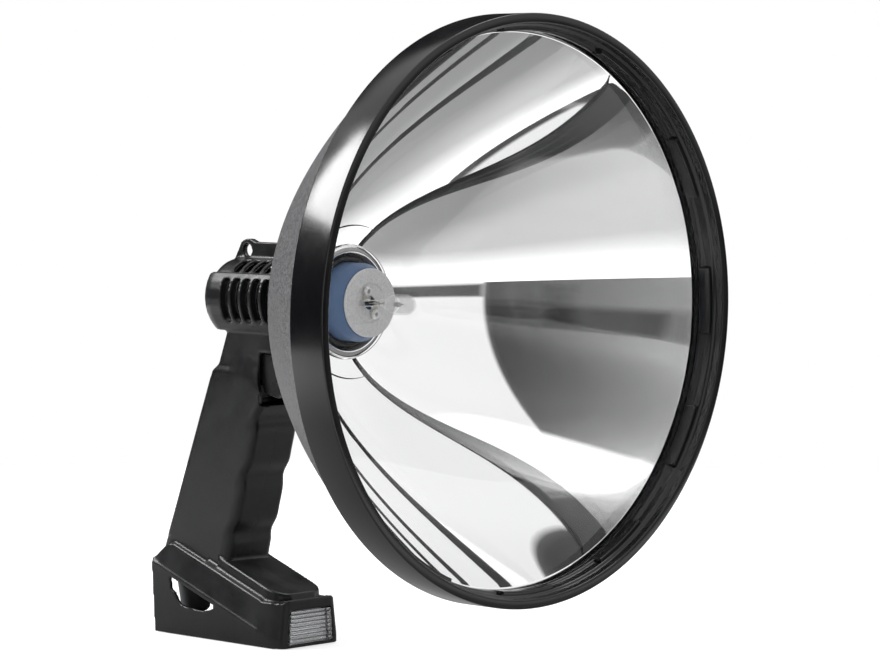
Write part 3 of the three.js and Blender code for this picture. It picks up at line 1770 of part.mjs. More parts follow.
const switchTerminalEnd = switchEnd + terminalLength + fitGap;
const socketBack = depthY(socketEnd) + fitGap;
const leadSpan = socketRadius / 3;

function supplyLead() {
  const [, low] = terminalPlaces();
  return lead([
    ...gripRun(-1),
    [-leadSpacing / 2, switchTerminalEnd + 2 * leadRadius, low[1] - 2 * leadRadius],
    [0, switchTerminalEnd + leadRadius, low[1]],
    [0, switchTerminalEnd, low[1]],
  ]);
}

function returnLead() {
  const neckY = screws[1][1] - screwBossRadius - 2 * leadRadius;
  return lead([
    ...gripRun(1),
    [leadSpacing * 2, neckY, switchBottom],
    [leadSpacing * 2, neckY, switchTop],
    [leadSpan, neckY - 1.4 * leadSpan, beamHeight - barrelBore + leadSpan],
    [leadSpan, socketBack / 2, beamHeight - leadSpan],
    [leadSpan, socketBack + leadSpan, beamHeight - leadSpan],
    [leadSpan, socketBack, beamHeight - leadSpan],
  ]);
}

function switchLead() {
  const [high] = terminalPlaces();
  return lead([
    [0, switchTerminalEnd, high[1]],
    [0, switchTerminalEnd + leadRadius, high[1]],
    [-leadRadius, switchTerminalEnd + 2 * leadRadius, high[1] + 2 * leadRadius],
    [-leadSpan, switchTerminalEnd - leadSpan, beamHeight - barrelBore + leadSpan],
    [-leadSpan, socketBack / 2, beamHeight - leadSpan],
    [-leadSpan, socketBack + leadSpan, beamHeight - leadSpan],
    [-leadSpan, socketBack, beamHeight - leadSpan],
  ]);
}

function mapLightLead() {
  const [, topY, topZ] = passageTop;
  const [, endY, endZ] = passageEnd;
  const along = (share) => [0, topY + (endY - topY) * share, topZ + (endZ - topZ) * share];
  return lead([
    [0, glandPlace - leadSpacing, glandTop + 2 * fitGap],
    [0, glandPlace - 3 * leadSpacing, glandTop + 2 * leadRadius],
    [0, (glandPlace + topY) / 2, glandTop],
    along(0),
    along(0.3),
    along(0.6),
    along(0.95),
  ]);
}

const lead = (places) => tubeAlong(places, leadRadius, leadFacets, leadSteps);

// Whole part

export const searchlight = new THREE.Group();
const head = new THREE.Group();
const handle = new THREE.Group();
searchlight.add(head, handle);

head.add(
  meshOf("front_rim", frontRim(), glossBlack()),
  meshOf("front_lens", frontLens(), clearPlastic()),
  meshOf("lens_gasket", lensGasket(), blackRubber()),
  meshOf("reflector", reflector(), mirrorFinish()),
  meshOf("rear_shell", rearShell(), texturedBlack()),
  meshOf("neck_seal", neckSeal(), blackRubber()),
  meshOf("neck_collar", neckCollar(), aluminium()),
  meshOf("focus_brake_ring", focusBrakeRing(), smoothBlack()),
  meshOf("neck_cap", neckCap(), smoothBlack()),
);

const whole = handleBody();
handle.add(
  meshOf("handle_left", handleHalf(whole, -1), gripBlack()),
  meshOf("handle_right", handleHalf(whole, 1), gripBlack()),
  ...screws.map((screw) => meshOf(screw[0], handleScrew(screw), steel())),
  meshOf("bulb_socket", bulbSocket(), blueSocket()),
  meshOf("socket_plate", socketPlate(), aluminium()),
  ...rivetPlaces().map((place, i) => meshOf(`contact_rivet_${i + 1}`, contactRivet(place), steel())),
  ...rivetPlaces().map((place, i) => meshOf(`contact_clip_${i + 1}`, contactClip(place), brass())),
  meshOf("bulb_pinch", bulbPinch(), clearGlass()),
  meshOf("bulb_envelope", bulbEnvelope(), clearGlass()),
  meshOf("bulb_filament", bulbFilament(), steel()),
  ...pinPlaces().map((x, i) => meshOf(`bulb_pin_${i + 1}`, bulbPin(x), steel())),
  meshOf("trigger", trigger(), smoothBlack()),
  meshOf("trigger_pin", triggerPin(), steel()),
  meshOf("switch_body", switchBody(), smoothBlack()),
  meshOf("switch_plunger", switchPlunger(), leadColour(0x8a2b22)),
  meshOf("cable_gland", cableGland(), blackRubber()),
  meshOf("gland_nut", glandNut(), brass()),
  meshOf("sole_pad", solePad(), blackRubber()),
  meshOf("map_light_lens", mapLens(), clearPlastic()),
  meshOf("map_light_tray", mapTray(), mirrorFinish()),
  meshOf("map_light_bulb", mapBulb(), clearGlass()),
  meshOf("map_light_holder", mapHolder(), smoothBlack()),
  meshOf("supply_lead", supplyLead(), leadColour(0x8c1f1c)),
  meshOf("return_lead", returnLead(), leadColour(0x1c1c1e)),
  meshOf("switch_lead", switchLead(), leadColour(0x8c1f1c)),
  meshOf("map_light_lead", mapLightLead(), leadColour(0xc8c4b8)),
);

export default searchlight;
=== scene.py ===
"""Handheld searchlight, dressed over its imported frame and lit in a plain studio.

Sizes are in millimetres in the classes and in metres in Blender. +Z is up, the beam points along
-Y, and a depth is measured back from the front of the rim, as on the frame's own parts.
"""

import logging
import math
from collections.abc import Iterator
from contextlib import contextmanager
from dataclasses import dataclass
from enum import Enum

import bmesh
import bpy
import numpy as np
from mathutils import Matrix


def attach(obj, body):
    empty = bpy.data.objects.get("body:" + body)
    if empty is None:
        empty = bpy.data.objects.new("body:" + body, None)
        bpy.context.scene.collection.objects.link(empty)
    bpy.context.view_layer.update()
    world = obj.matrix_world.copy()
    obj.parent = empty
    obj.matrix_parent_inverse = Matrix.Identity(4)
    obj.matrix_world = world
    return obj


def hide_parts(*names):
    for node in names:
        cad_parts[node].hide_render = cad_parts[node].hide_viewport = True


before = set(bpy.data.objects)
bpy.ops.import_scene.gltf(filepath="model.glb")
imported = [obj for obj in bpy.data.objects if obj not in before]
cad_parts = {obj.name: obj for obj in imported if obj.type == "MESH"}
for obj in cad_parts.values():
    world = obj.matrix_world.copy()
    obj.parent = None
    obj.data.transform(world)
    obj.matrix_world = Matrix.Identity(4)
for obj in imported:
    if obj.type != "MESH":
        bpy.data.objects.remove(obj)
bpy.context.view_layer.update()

MM = 0.001
BEAM_HEIGHT = 156.0
BEAM_REACH = 180.5
WHITE = (1.0, 1.0, 1.0, 1.0)
LOG = logging.getLogger("searchlight")
# Points of a mesh nearer than this, in metres, become one.
MERGED = 1e-6

Pair = tuple[float, float]
Triple = tuple[float, float, float]
# The points and the quads of a surface.
Surface = tuple[np.ndarray, np.ndarray]
# What a shader node's inputs are fed, by their names or numbers.
Values = dict[str | int, object]


class Body(Enum):
    """Bodies of the frame that pieces ride on."""

    HEAD = "head"
    HANDLE = "handle"
    TRIGGER = "trigger"


# Shader nodes


def fed(tree: bpy.types.NodeTree, node: bpy.types.Node, values: Values) -> bpy.types.Node:
    """Feeds a node's inputs: a socket is linked, and any other value is set directly.

    Args:
        tree: The node's tree.
        node: The node.
        values: Sockets or plain values by the input's name or number.

    Returns:
        The node.
    """
    for key, value in values.items():
        if isinstance(value, bpy.types.NodeSocket):
            tree.links.new(value, node.inputs[key])
        else:
            node.inputs[key].default_value = value
    return node


def added(
    tree: bpy.types.NodeTree, kind: str, values: Values | None = None, **settings: object
) -> bpy.types.Node:
    """Adds a shader node.

    Args:
        tree: The tree to add to.
        kind: The node's type without its first word, ShaderNode.
        values: What its inputs are fed.
        settings: Its own properties, which are set before its inputs.

    Returns:
        The node.
    """
    node = tree.nodes.new(f"ShaderNode{kind}")
    for key, value in settings.items():
        setattr(node, key, value)
    return fed(tree, node, values or {})


def worked(
    tree: bpy.types.NodeTree, operation: str, first: object, second: object, clamp: bool = False
) -> bpy.types.NodeSocket:
    """Adds a math node on two sockets or numbers.

    Args:
        tree: The tree to add to.
        operation: What is worked out.
        first: The first value.
        second: The second value.
        clamp: Whether the result is kept between 0 and 1.

    Returns:
        The result's socket.
    """
    values = {0: first, 1: second}
    return added(tree, "Math", values, operation=operation, use_clamp=clamp).outputs[0]


def new_group(name: str, inputs: dict[str, float], outputs: list[str]) -> bpy.types.NodeTree:
    """Makes an empty shader node group.

    Args:
        name: The group's name.
        inputs: Float sockets by name, with their default values.
        outputs: Float sockets that the group puts out.

    Returns:
        The node group with its input and output nodes.
    """
    group = bpy.data.node_groups.new(name, "ShaderNodeTree")
    for label, value in inputs.items():
        socket = group.interface.new_socket(label, in_out="INPUT", socket_type="NodeSocketFloat")
        socket.default_value = value
    for label in outputs:
        group.interface.new_socket(label, in_out="OUTPUT", socket_type="NodeSocketFloat")
    group.nodes.new("NodeGroupInput").name = "in"
    group.nodes.new("NodeGroupOutput").name = "out"
    return group


def grain_group() -> bpy.types.NodeTree:
    """Moulded surface: fine grain as height, and broad cloudy marks as a mask.

    Each is a noise whose values from 0.3 to 0.7 are spread from 0 to 1.

    Returns:
        The group, with Fine and Broad outputs between 0 and 1.
    """
    group = new_group("moulded_grain", {"Fine Scale": 900.0, "Broad Scale": 60.0}, ["Fine", "Broad"])
    given, place = group.nodes["in"].outputs, added(group, "TexCoord").outputs["Object"]
    for label, detail, rough in (("Fine", 3.0, 0.6), ("Broad", 5.0, 0.62)):
        scale = given[f"{label} Scale"]
        values = {"Detail": detail, "Roughness": rough, "Vector": place, "Scale": scale}
        noise = added(group, "TexNoise", values).outputs["Fac"]
        spread = added(group, "MapRange", {"From Min": 0.3, "From Max": 0.7, "Value": noise})
        group.links.new(spread.outputs["Result"], group.nodes["out"].inputs[label])
    return group


def wear_group() -> bpy.types.NodeTree:
    """Rubbed edges: the mesh's outward curvature from 0.52 to 0.6, broken up by noise.

    Returns:
        The group, with a Mask output between 0 and 1.
    """
    group = new_group("rubbed_edges", {"Amount": 0.5}, ["Mask"])
    place = added(group, "TexCoord").outputs["Object"]
    noise = added(group, "TexNoise", {"Scale": 160.0, "Detail": 4.0, "Vector": place})
    curved = added(group, "NewGeometry").outputs["Pointiness"]
    values = {"Value": curved, "From Min": 0.52, "From Max": 0.6}
    ramp = added(group, "MapRange", values).outputs["Result"]
    product = worked(group, "MULTIPLY", ramp, noise.outputs["Fac"])
    scaled = worked(group, "MULTIPLY", product, group.nodes["in"].outputs["Amount"])
    group.links.new(scaled, group.nodes["out"].inputs["Mask"])
    return group


GRAIN = grain_group()
WEAR = wear_group()


@dataclass(frozen=True)
class Finish:
    """A surface finish: a Principled shader with grain, cloudy marks and rubbed edges.

    With clear above 0 the surface is see-through: its alpha is clear + facing^5, so it shows
    itself towards its edges only.
    """

    name: str
    colour: Triple
    roughness: float
    second: Triple
    metallic: float = 0.0
    rubbed: Triple = (0.0, 0.0, 0.0)
    roughness_spread: float = 0.08
    fine_scale: float = 900.0
    broad_scale: float = 60.0
    bump: float = 0.15
    bump_distance: float = 0.05
    wear: float = 0.0
    specular: float = 0.5
    transmission: float = 0.0
    ior: float = 1.45
    clear: float = 0.0
    facing_blend: float = 0.5
    facing_power: float = 5.0

    def material(self) -> bpy.types.Material:
        """Builds the material, or returns it if it is there."""
        return bpy.data.materials.get(self.name) or self._build()

    def _build(self) -> bpy.types.Material:
        """Builds the node tree: grain to bump and roughness, marks and wear to the colour.

        Returns:
            The material.
        """
        made = bpy.data.materials.new(self.name)
        made.use_nodes = True
        tree = made.node_tree
        scales = {"Fine Scale": self.fine_scale, "Broad Scale": self.broad_scale}
        grain = added(tree, "Group", scales, node_tree=GRAIN).outputs
        low, high = self.roughness - self.roughness_spread, self.roughness + self.roughness_spread
        values = {"To Min": max(0.0, low), "To Max": high, "Value": grain["Broad"]}
        rough = added(tree, "MapRange", values)
        bump = {"Strength": self.bump, "Distance": self.bump_distance * MM, "Height": grain["Fine"]}
        colour = self._mixed(tree, (*self.colour, 1.0), self.second, grain["Broad"])
        if self.wear:
            edges = added(tree, "Group", {"Amount": self.wear}, node_tree=WEAR)
            colour = self._mixed(tree, colour, self.rubbed, edges.outputs["Mask"])
        shader = {
            "Base Color": colour,
            "Roughness": rough.outputs["Result"],
            "Normal": added(tree, "Bump", bump).outputs["Normal"],
            "Metallic": self.metallic,
            "IOR": self.ior,
            "Specular IOR Level": self.specular,
            "Transmission Weight": self.transmission,
        }
        if self.clear:
            facing = added(tree, "LayerWeight", {"Blend": self.facing_blend}).outputs["Facing"]
            edge = worked(tree, "POWER", facing, self.facing_power)
            shader["Alpha"] = worked(tree, "ADD", edge, self.clear, clamp=True)
        fed(tree, tree.nodes["Principled BSDF"], shader)
        return made

    def _mixed(
        self, tree: bpy.types.NodeTree, first: object, second: Triple, mask: bpy.types.NodeSocket
    ) -> bpy.types.NodeSocket:
        """Socket of a mix: the first colour or socket where the mask is 0, the second where it is 1."""
        values = {"A": first, "B": (*second, 1.0), "Factor": mask}
        return added(tree, "Mix", values, data_type="RGBA").outputs["Result"]


def grey(level: float) -> Triple:
    """Neutral colour of a level."""
    return (level, level, level)


GLOSS_BLACK = Finish(
    "gloss_black_plastic", (0.004, 0.004, 0.0048), 0.17, (0.007, 0.007, 0.008),
    rubbed=(0.05, 0.05, 0.052), roughness_spread=0.05, fine_scale=420.0, broad_scale=35.0,
    bump=0.05, bump_distance=0.04, wear=0.5,
)
TEXTURED_BLACK = Finish(
    "textured_black_plastic", (0.012, 0.012, 0.013), 0.5, (0.16, 0.16, 0.165),
    rubbed=grey(0.14), fine_scale=800.0, broad_scale=720.0, bump=1.0, bump_distance=0.3, wear=0.3,
)
GRIP_BLACK = Finish(
    "satin_black_nylon", (0.005, 0.0052, 0.006), 0.34, (0.0095, 0.0098, 0.0108),
    rubbed=(0.06, 0.06, 0.062), fine_scale=1100.0, broad_scale=70.0, bump=0.3, wear=0.4,
    specular=0.42,
)
SMOOTH_BLACK = Finish(
    "smooth_black_plastic", (0.006, 0.006, 0.0067), 0.3, (0.01, 0.01, 0.011),
    rubbed=grey(0.08), fine_scale=800.0, bump=0.12, wear=0.5,
)
RUBBER = Finish(
    "black_rubber", (0.02, 0.0205, 0.022), 0.6, (0.035, 0.036, 0.038), fine_scale=700.0,
    bump=0.3, bump_distance=0.08,
)
GLAND_RUBBER = Finish(
    "grey_black_rubber", (0.045, 0.047, 0.05), 0.5, (0.07, 0.072, 0.076), fine_scale=600.0,
    bump=0.2, bump_distance=0.06,
)
RED_PLASTIC = Finish("red_plastic", (0.32, 0.02, 0.015), 0.4, (0.25, 0.015, 0.012), fine_scale=800.0)
RED_SLEEVE = Finish("red_lead_sleeve", (0.09, 0.006, 0.005), 0.5, (0.06, 0.005, 0.005), fine_scale=700.0)
BLACK_SLEEVE = Finish(
    "black_lead_sleeve", (0.012, 0.012, 0.013), 0.45, (0.02, 0.02, 0.021), fine_scale=700.0
)
PALE_PLASTIC = Finish("pale_lead_sleeve", (0.58, 0.55, 0.48), 0.5, (0.5, 0.47, 0.4), fine_scale=700.0)
BLUE_PLASTIC = Finish(
    "blue_grey_plastic", (0.1, 0.18, 0.34), 0.42, (0.12, 0.2, 0.37), rubbed=(0.3, 0.42, 0.6),
    broad_scale=120.0, bump=0.12, wear=0.6,
)
MIRROR = Finish(
    "mirror_coating", grey(0.985), 0.02, (0.97, 0.972, 0.975), 1.0, roughness_spread=0.012,
    fine_scale=55.0, broad_scale=16.0, bump=0.02,
)
STEEL = Finish(
    "bright_steel", (0.62, 0.62, 0.63), 0.25, (0.5, 0.5, 0.51), 1.0, fine_scale=700.0,
    broad_scale=200.0, bump=0.08,
)
TUNGSTEN = Finish("tungsten_wire", (0.3, 0.3, 0.32), 0.35, (0.22, 0.22, 0.24), 1.0)
ALUMINIUM = Finish(
    "satin_aluminium", (0.84, 0.84, 0.85), 0.42, (0.64, 0.64, 0.65), 0.2,
    rubbed=(0.95, 0.95, 0.96), fine_scale=1400.0, broad_scale=900.0, bump=0.25, wear=0.6,
)
NECK_METAL = Finish(
    "uncoated_neck", (0.75, 0.72, 0.68), 0.5, (0.62, 0.6, 0.56), broad_scale=200.0, bump=0.1
)
EYELET_METAL = Finish(
    "plated_eyelet", grey(0.82), 0.28, (0.7, 0.7, 0.71), 0.4, rubbed=grey(0.95),
    broad_scale=300.0, bump=0.08, wear=0.4,
)
BRASS = Finish(
    "plated_brass", (0.8, 0.79, 0.74), 0.26, (0.66, 0.63, 0.56), 0.55, broad_scale=180.0, bump=0.08
)
CLEAR_COVER = Finish(
    "clear_cover", grey(0.97), 0.015, (0.95, 0.96, 0.96), 1.0, roughness_spread=0.008,
    fine_scale=40.0, broad_scale=14.0, bump=0.01, clear=0.035,
)
TRAY_METAL = Finish(
    "dull_tray_metal", (0.16, 0.16, 0.17), 0.24, (0.1, 0.1, 0.11), 1.0, fine_scale=300.0,
    broad_scale=120.0, bump=0.1,
)
CLEAR_LENS = Finish(
    "clear_ribbed_plastic", (0.93, 0.94, 0.95), 0.06, (0.88, 0.89, 0.91), roughness_spread=0.03,
    fine_scale=300.0, bump=0.05, transmission=1.0, ior=1.49,
)
BULB_GLASS = Finish(
    "bulb_glass", grey(0.985), 0.02, (0.96, 0.97, 0.97), 1.0, roughness_spread=0.01,
    fine_scale=200.0, bump=0.05, clear=0.07,
)
PAPER = Finish("pale_paper", grey(0.45), 0.9, grey(0.43), broad_scale=3.0, specular=0.0)

NODE_FINISHES = {
    node: finish
    for finish, nodes in (
        (GLOSS_BLACK, ("front_rim",)),
        (CLEAR_COVER, ("front_lens",)),
        (RUBBER, ("lens_gasket", "sole_pad")),
        (MIRROR, ("reflector",)),
        (TEXTURED_BLACK, ("rear_shell",)),
        (NECK_METAL, ("neck_seal",)),
        (ALUMINIUM, ("neck_collar", "socket_plate")),
        (SMOOTH_BLACK, ("neck_cap", "focus_brake_ring", "trigger", "switch_body", "map_light_holder")),
        (GRIP_BLACK, ("handle_left", "handle_right")),
        (BLUE_PLASTIC, ("bulb_socket",)),
        (BULB_GLASS, ("bulb_pinch", "bulb_envelope", "map_light_bulb")),
        (TUNGSTEN, ("bulb_filament",)),
        (EYELET_METAL, ("contact_rivet_1", "contact_rivet_2")),
        (BRASS, ("contact_clip_1", "contact_clip_2", "gland_nut")),
        (RED_PLASTIC, ("switch_plunger",)),
        (GLAND_RUBBER, ("cable_gland",)),
        (CLEAR_LENS, ("map_light_lens",)),
        (TRAY_METAL, ("map_light_tray",)),
        (RED_SLEEVE, ("supply_lead", "switch_lead")),
        (BLACK_SLEEVE, ("return_lead",)),
        (PALE_PLASTIC, ("map_light_lead",)),
    )
    for node in nodes
}


# Meshes from arrays


def around(count: int) -> np.ndarray:
    """Angles of even steps round a circle, as one row."""
    return np.linspace(0.0, 2 * np.pi, count, endpoint=False)[None, :]


def grid_quads(
    rows: int, cols: int, close_rows: bool = False, close_cols: bool = True
) -> np.ndarray:
    """Corner numbers of the quads of a grid whose points are numbered row by row.

    Args:
        rows: Number of rows of points.
        cols: Number of points in a row.
        close_rows: Whether the last row joins the first.
        close_cols: Whether the last point of a row joins its first.

    Returns:
        One row of four point numbers for each quad.
    """
    r = np.arange(rows if close_rows else rows - 1)[:, None]
    c = np.arange(cols if close_cols else cols - 1)[None, :]
    up, along = (r + 1) % rows, (c + 1) % cols
    corners = (r * cols + c, r * cols + along, up * cols + along, up * cols + c)
    return np.stack(np.broadcast_arrays(*corners), -1).reshape(-1, 4)


def parabola(start: np.ndarray, corner: np.ndarray, end: np.ndarray, steps: int) -> np.ndarray:
    """Rounding from a start to an end: the parabola (1-t)^2 start + 2t(1-t) corner + t^2 end.

    Args:
        start: Where it starts.
        corner: Where its end lines meet.
        end: Where it ends.
        steps: Number of its spans.

    Returns:
        Its points, along a new axis before the last.
    """
    t = np.linspace(0.0, 1.0, steps + 1)[:, None]
    start, corner, end = (point[..., None, :] for point in (start, corner, end))
    return (1 - t) ** 2 * start + 2 * t * (1 - t) * corner + t**2 * end


def rounded(corners: list[Pair], radius: float) -> np.ndarray:
    """Rounds the corners of a closed outline in four spans each.

    A rounding starts and ends at the given radius from its corner, or at 0.45 of the edge where
    that is shorter.

    Args:
        corners: Corner points of the closed outline, without a repeat of the first.
        radius: Distance from a corner at which its rounding starts.

    Returns:
        The points of the rounded outline.
    """
    outline = np.array(corners)
    before, after = np.roll(outline, 1, 0) - outline, np.roll(outline, -1, 0) - outline
    near, far = (np.linalg.norm(edge, axis=1, keepdims=True) for edge in (before, after))
    reach = np.minimum(radius, 0.45 * np.minimum(near, far))
    start, end = outline + before / near * reach, outline + after / far * reach
    return parabola(start, outline, end, 4).reshape(-1, 2)


def placed(x: np.ndarray, y: np.ndarray, z: np.ndarray) -> np.ndarray:
    """Puts coordinates together, spread to one shape, as one row for each point."""
    return np.stack(np.broadcast_arrays(x, y, z), -1).reshape(-1, 3)


def about_beam(r: np.ndarray, s: np.ndarray, q: np.ndarray) -> np.ndarray:
    """Points at radii r, depths s and angles q: x = r cos q, y = s - reach, z = height + r sin q."""
    return placed(r * np.cos(q), s - BEAM_REACH, BEAM_HEIGHT + r * np.sin(q))


def turned(outline: np.ndarray, segments: int) -> Surface:
    """Turns a closed outline of (radius, depth) points about the beam axis.

    Args:
        outline: Points of the closed outline.
        segments: Number of steps round the axis.

    Returns:
        The points in millimetres, and the quads.
    """
    points = about_beam(outline[:, :1], outline[:, 1:], around(segments))
    return points, grid_quads(len(outline), segments, close_rows=True)


# A direction that no tube of the searchlight runs along.
TUBE_AXIS = (0.31, 0.17, 0.93)


def tube(path: np.ndarray, radius: float, sides: int) -> Surface:
    """Carries a circle along a path and closes both ends.

    Each ring stands square to the path's direction, on two axes made from it and TUBE_AXIS.

    Args:
        path: Points of the path in millimetres.
        radius: Radius of the tube.
        sides: Points of each ring.

    Returns:
        Its points and quads.
    """
    ahead = np.gradient(path, axis=0)
    ahead /= np.linalg.norm(ahead, axis=1, keepdims=True)
    across = np.cross(ahead, TUBE_AXIS)
    across /= np.linalg.norm(across, axis=1, keepdims=True)
    up = np.cross(ahead, across)
    q = around(sides)[..., None]
    rings = path[:, None] + radius * (np.cos(q) * across[:, None] + np.sin(q) * up[:, None])
    ends = [np.repeat(path[i][None, None], sides, 1) for i in (0, -1)]
    rings = np.concatenate((ends[0], rings, ends[1]))
    return rings.reshape(-1, 3), grid_quads(len(rings), sides)


def joined(parts: list[Surface]) -> Surface:
    """Puts several surfaces into one.

    Args:
        parts: Points and quads of each surface.

    Returns:
        All points, and all quads with their point numbers moved on.
    """
    starts = np.cumsum([0] + [len(points) for points, _ in parts[:-1]])
    quads = [faces + start for (_, faces), start in zip(parts, starts)]
    return np.concatenate([points for points, _ in parts]), np.concatenate(quads)


@contextmanager
def edited(mesh: bpy.types.Mesh) -> Iterator[bmesh.types.BMesh]:
    """Opens a mesh for editing, and writes it back at the end.

    Args:
        mesh: The mesh.

    Yields:
        The mesh in its editable form.
    """
    work = bmesh.new()
    work.from_mesh(mesh)
    yield work
    work.to_mesh(mesh)
    work.free()


def mesh_of(points: np.ndarray, quads: np.ndarray) -> bpy.types.Mesh:
    """Makes a mesh, closes its seams and poles, and turns its faces outwards.

    Args:
        points: Points in millimetres.
        quads: Four point numbers for each face.

    Returns:
        The mesh in metres.
    """
    mesh = bpy.data.meshes.new("made")
    mesh.from_pydata((points * MM).tolist(), [], quads.tolist())
    with edited(mesh) as work:
        bmesh.ops.remove_doubles(work, verts=work.verts[:], dist=MERGED)
        bmesh.ops.dissolve_degenerate(work, edges=work.edges[:], dist=MERGED / 10)
        bmesh.ops.recalc_face_normals(work, faces=work.faces[:])
    return mesh


def linked(name: str, data: bpy.types.ID) -> bpy.types.Object:
    """Makes an object of a mesh, lamp or camera and links it to the scene.

    Args:
        name: The object's name.
        data: What it shows.

    Returns:
        The object.
    """
    made = bpy.data.objects.new(name, data)
    bpy.context.scene.collection.objects.link(made)
    return made


def shown(
    name: str, mesh: bpy.types.Mesh, node: str, sharp: float = 40.0, body: Body = Body.HANDLE
) -> None:
    """Shows a mesh as a piece that stands for a CAD node, in its finish, and rides on a body.

    Args:
        name: The piece's name.
        mesh: Its mesh, in place.
        node: The CAD node that it replaces, which is hidden.
        sharp: Angle in degrees past which an edge is shaded sharp.
        body: The body that it rides on.
    """
    mesh.name = name
    piece = linked(name, mesh)
    mesh.materials.clear()
    mesh.materials.append(NODE_FINISHES.get(node, STEEL).material())
    mesh.shade_smooth()
    mesh.set_sharp_from_angle(angle=math.radians(sharp))
    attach(piece, body.value)
    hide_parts(node)
    LOG.info("%s: %d faces, for %s", name, len(mesh.polygons), node)


# CAD solids with a finer skin


def node_copy(node: str) -> bpy.types.Mesh:
    """Copies a CAD node's mesh and merges its loose triangles.

    Args:
        node: The CAD node's name.

    Returns:
        The copy, closed.
    """
    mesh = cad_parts[node].data.copy()
    with edited(mesh) as work:
        bmesh.ops.remove_doubles(work, verts=work.verts[:], dist=2 * MERGED)
    return mesh


def revoxeled(mesh: bpy.types.Mesh, voxel: float) -> bpy.types.Mesh:
    """Covers a closed mesh with an even skin of small quads.

    Args:
        mesh: The closed mesh; it is used up.
        voxel: Size of a quad in millimetres.

    Returns:
        The new mesh.
    """
    helper = linked("helper", mesh)
    modifier = helper.modifiers.new("even_skin", "REMESH")
    modifier.mode = "VOXEL"
    modifier.voxel_size = voxel * MM
    graph = bpy.context.evaluated_depsgraph_get()
    skin = bpy.data.meshes.new_from_object(helper.evaluated_get(graph))
    bpy.data.objects.remove(helper)
    bpy.data.meshes.remove(mesh)
    return skin


def points_of(mesh: bpy.types.Mesh) -> np.ndarray:
    """Reads a mesh's points.

    Args:
        mesh: The mesh.

    Returns:
        One row for each point, in millimetres.
    """
    flat = np.empty(len(mesh.vertices) * 3, np.float32)
    mesh.vertices.foreach_get("co", flat)
    return flat.reshape(-1, 3).astype(float) / MM


def set_points(mesh: bpy.types.Mesh, points: np.ndarray) -> None:
    """Writes a mesh's points, given in millimetres."""
    mesh.vertices.foreach_set("co", (points * MM).astype(np.float32).ravel())
    mesh.update()


def relaxed(
    mesh: bpy.types.Mesh,
    passes: int,
    pull: float = 0.5,
    push: float = 0.53,
    weight: np.ndarray | None = None,
) -> None:
    """Smooths a mesh without shrinking it.

    Each pass moves every point by pull times the way to the mean of its neighbours, and then back
    by push times that way, so edges get round while walls keep their thickness.

    Args:
        mesh: The mesh to smooth.
        passes: Number of passes.
        pull: Share of the way towards the neighbours.
        push: Share of the way back.
        weight: Share of the smoothing that each point takes; all of it if left out.
    """
    ends = np.empty(len(mesh.edges) * 2, np.int32)
    mesh.edges.foreach_get("vertices", ends)
    a, b = ends.reshape(-1, 2).T
    points = points_of(mesh)
    count = len(points)
    degree = np.maximum(np.bincount(a, minlength=count) + np.bincount(b, minlength=count), 1)
    taken = 1.0 if weight is None else weight[:, None]
    for share in ([pull, -push] if push else [pull]) * passes:
        sums = [np.bincount(a, c[b], count) + np.bincount(b, c[a], count) for c in points.T]
        points = points + share * taken * (np.stack(sums, -1) / degree[:, None] - points)
    set_points(mesh, points)


def softened(node: str, voxel: float, passes: int) -> bpy.types.Mesh:
    """Copies a CAD node's mesh under an even skin with rounded edges.

    Args:
        node: The CAD node's name.
        voxel: Size of the skin's quads in millimetres.
        passes: Number of smoothing passes.

    Returns:
        The new mesh.
    """
    mesh = revoxeled(node_copy(node), voxel)
    relaxed(mesh, passes)
    return mesh


def cut_at_seam(mesh: bpy.types.Mesh, outward: float, gap: float) -> None:
    """Cuts a half off flat beside the parting plane and closes the cut.

    Args:
        mesh: The half, which reaches past the parting plane.
        outward: Sign of X on the half's own side.
        gap: Distance from the parting plane to the cut, in millimetres.
    """
    with edited(mesh) as work:
        cut = bmesh.ops.bisect_plane(
            work,
            geom=work.verts[:] + work.edges[:] + work.faces[:],
            plane_co=(outward * gap * MM, 0.0, 0.0),
            plane_no=(-outward, 0.0, 0.0),
            clear_outer=True,
        )
        rim = [item for item in cut["geom_cut"] if isinstance(item, bmesh.types.BMEdge)]
        bmesh.ops.triangle_fill(work, edges=rim, use_beauty=True)
        bmesh.ops.recalc_face_normals(work, faces=work.faces[:])


def add_to(mesh: bpy.types.Mesh, parts: list[Surface]) -> None:
    """Adds closed surfaces to a mesh, as loose shells that a remesh then unites.

    Args:
        mesh: The mesh to add to.
        parts: Points in millimetres and quads of each surface.
    """
    extra = mesh_of(*joined(parts))
    with edited(mesh) as work:
        work.from_mesh(extra)
    bpy.data.meshes.remove(extra)


# The searchlight


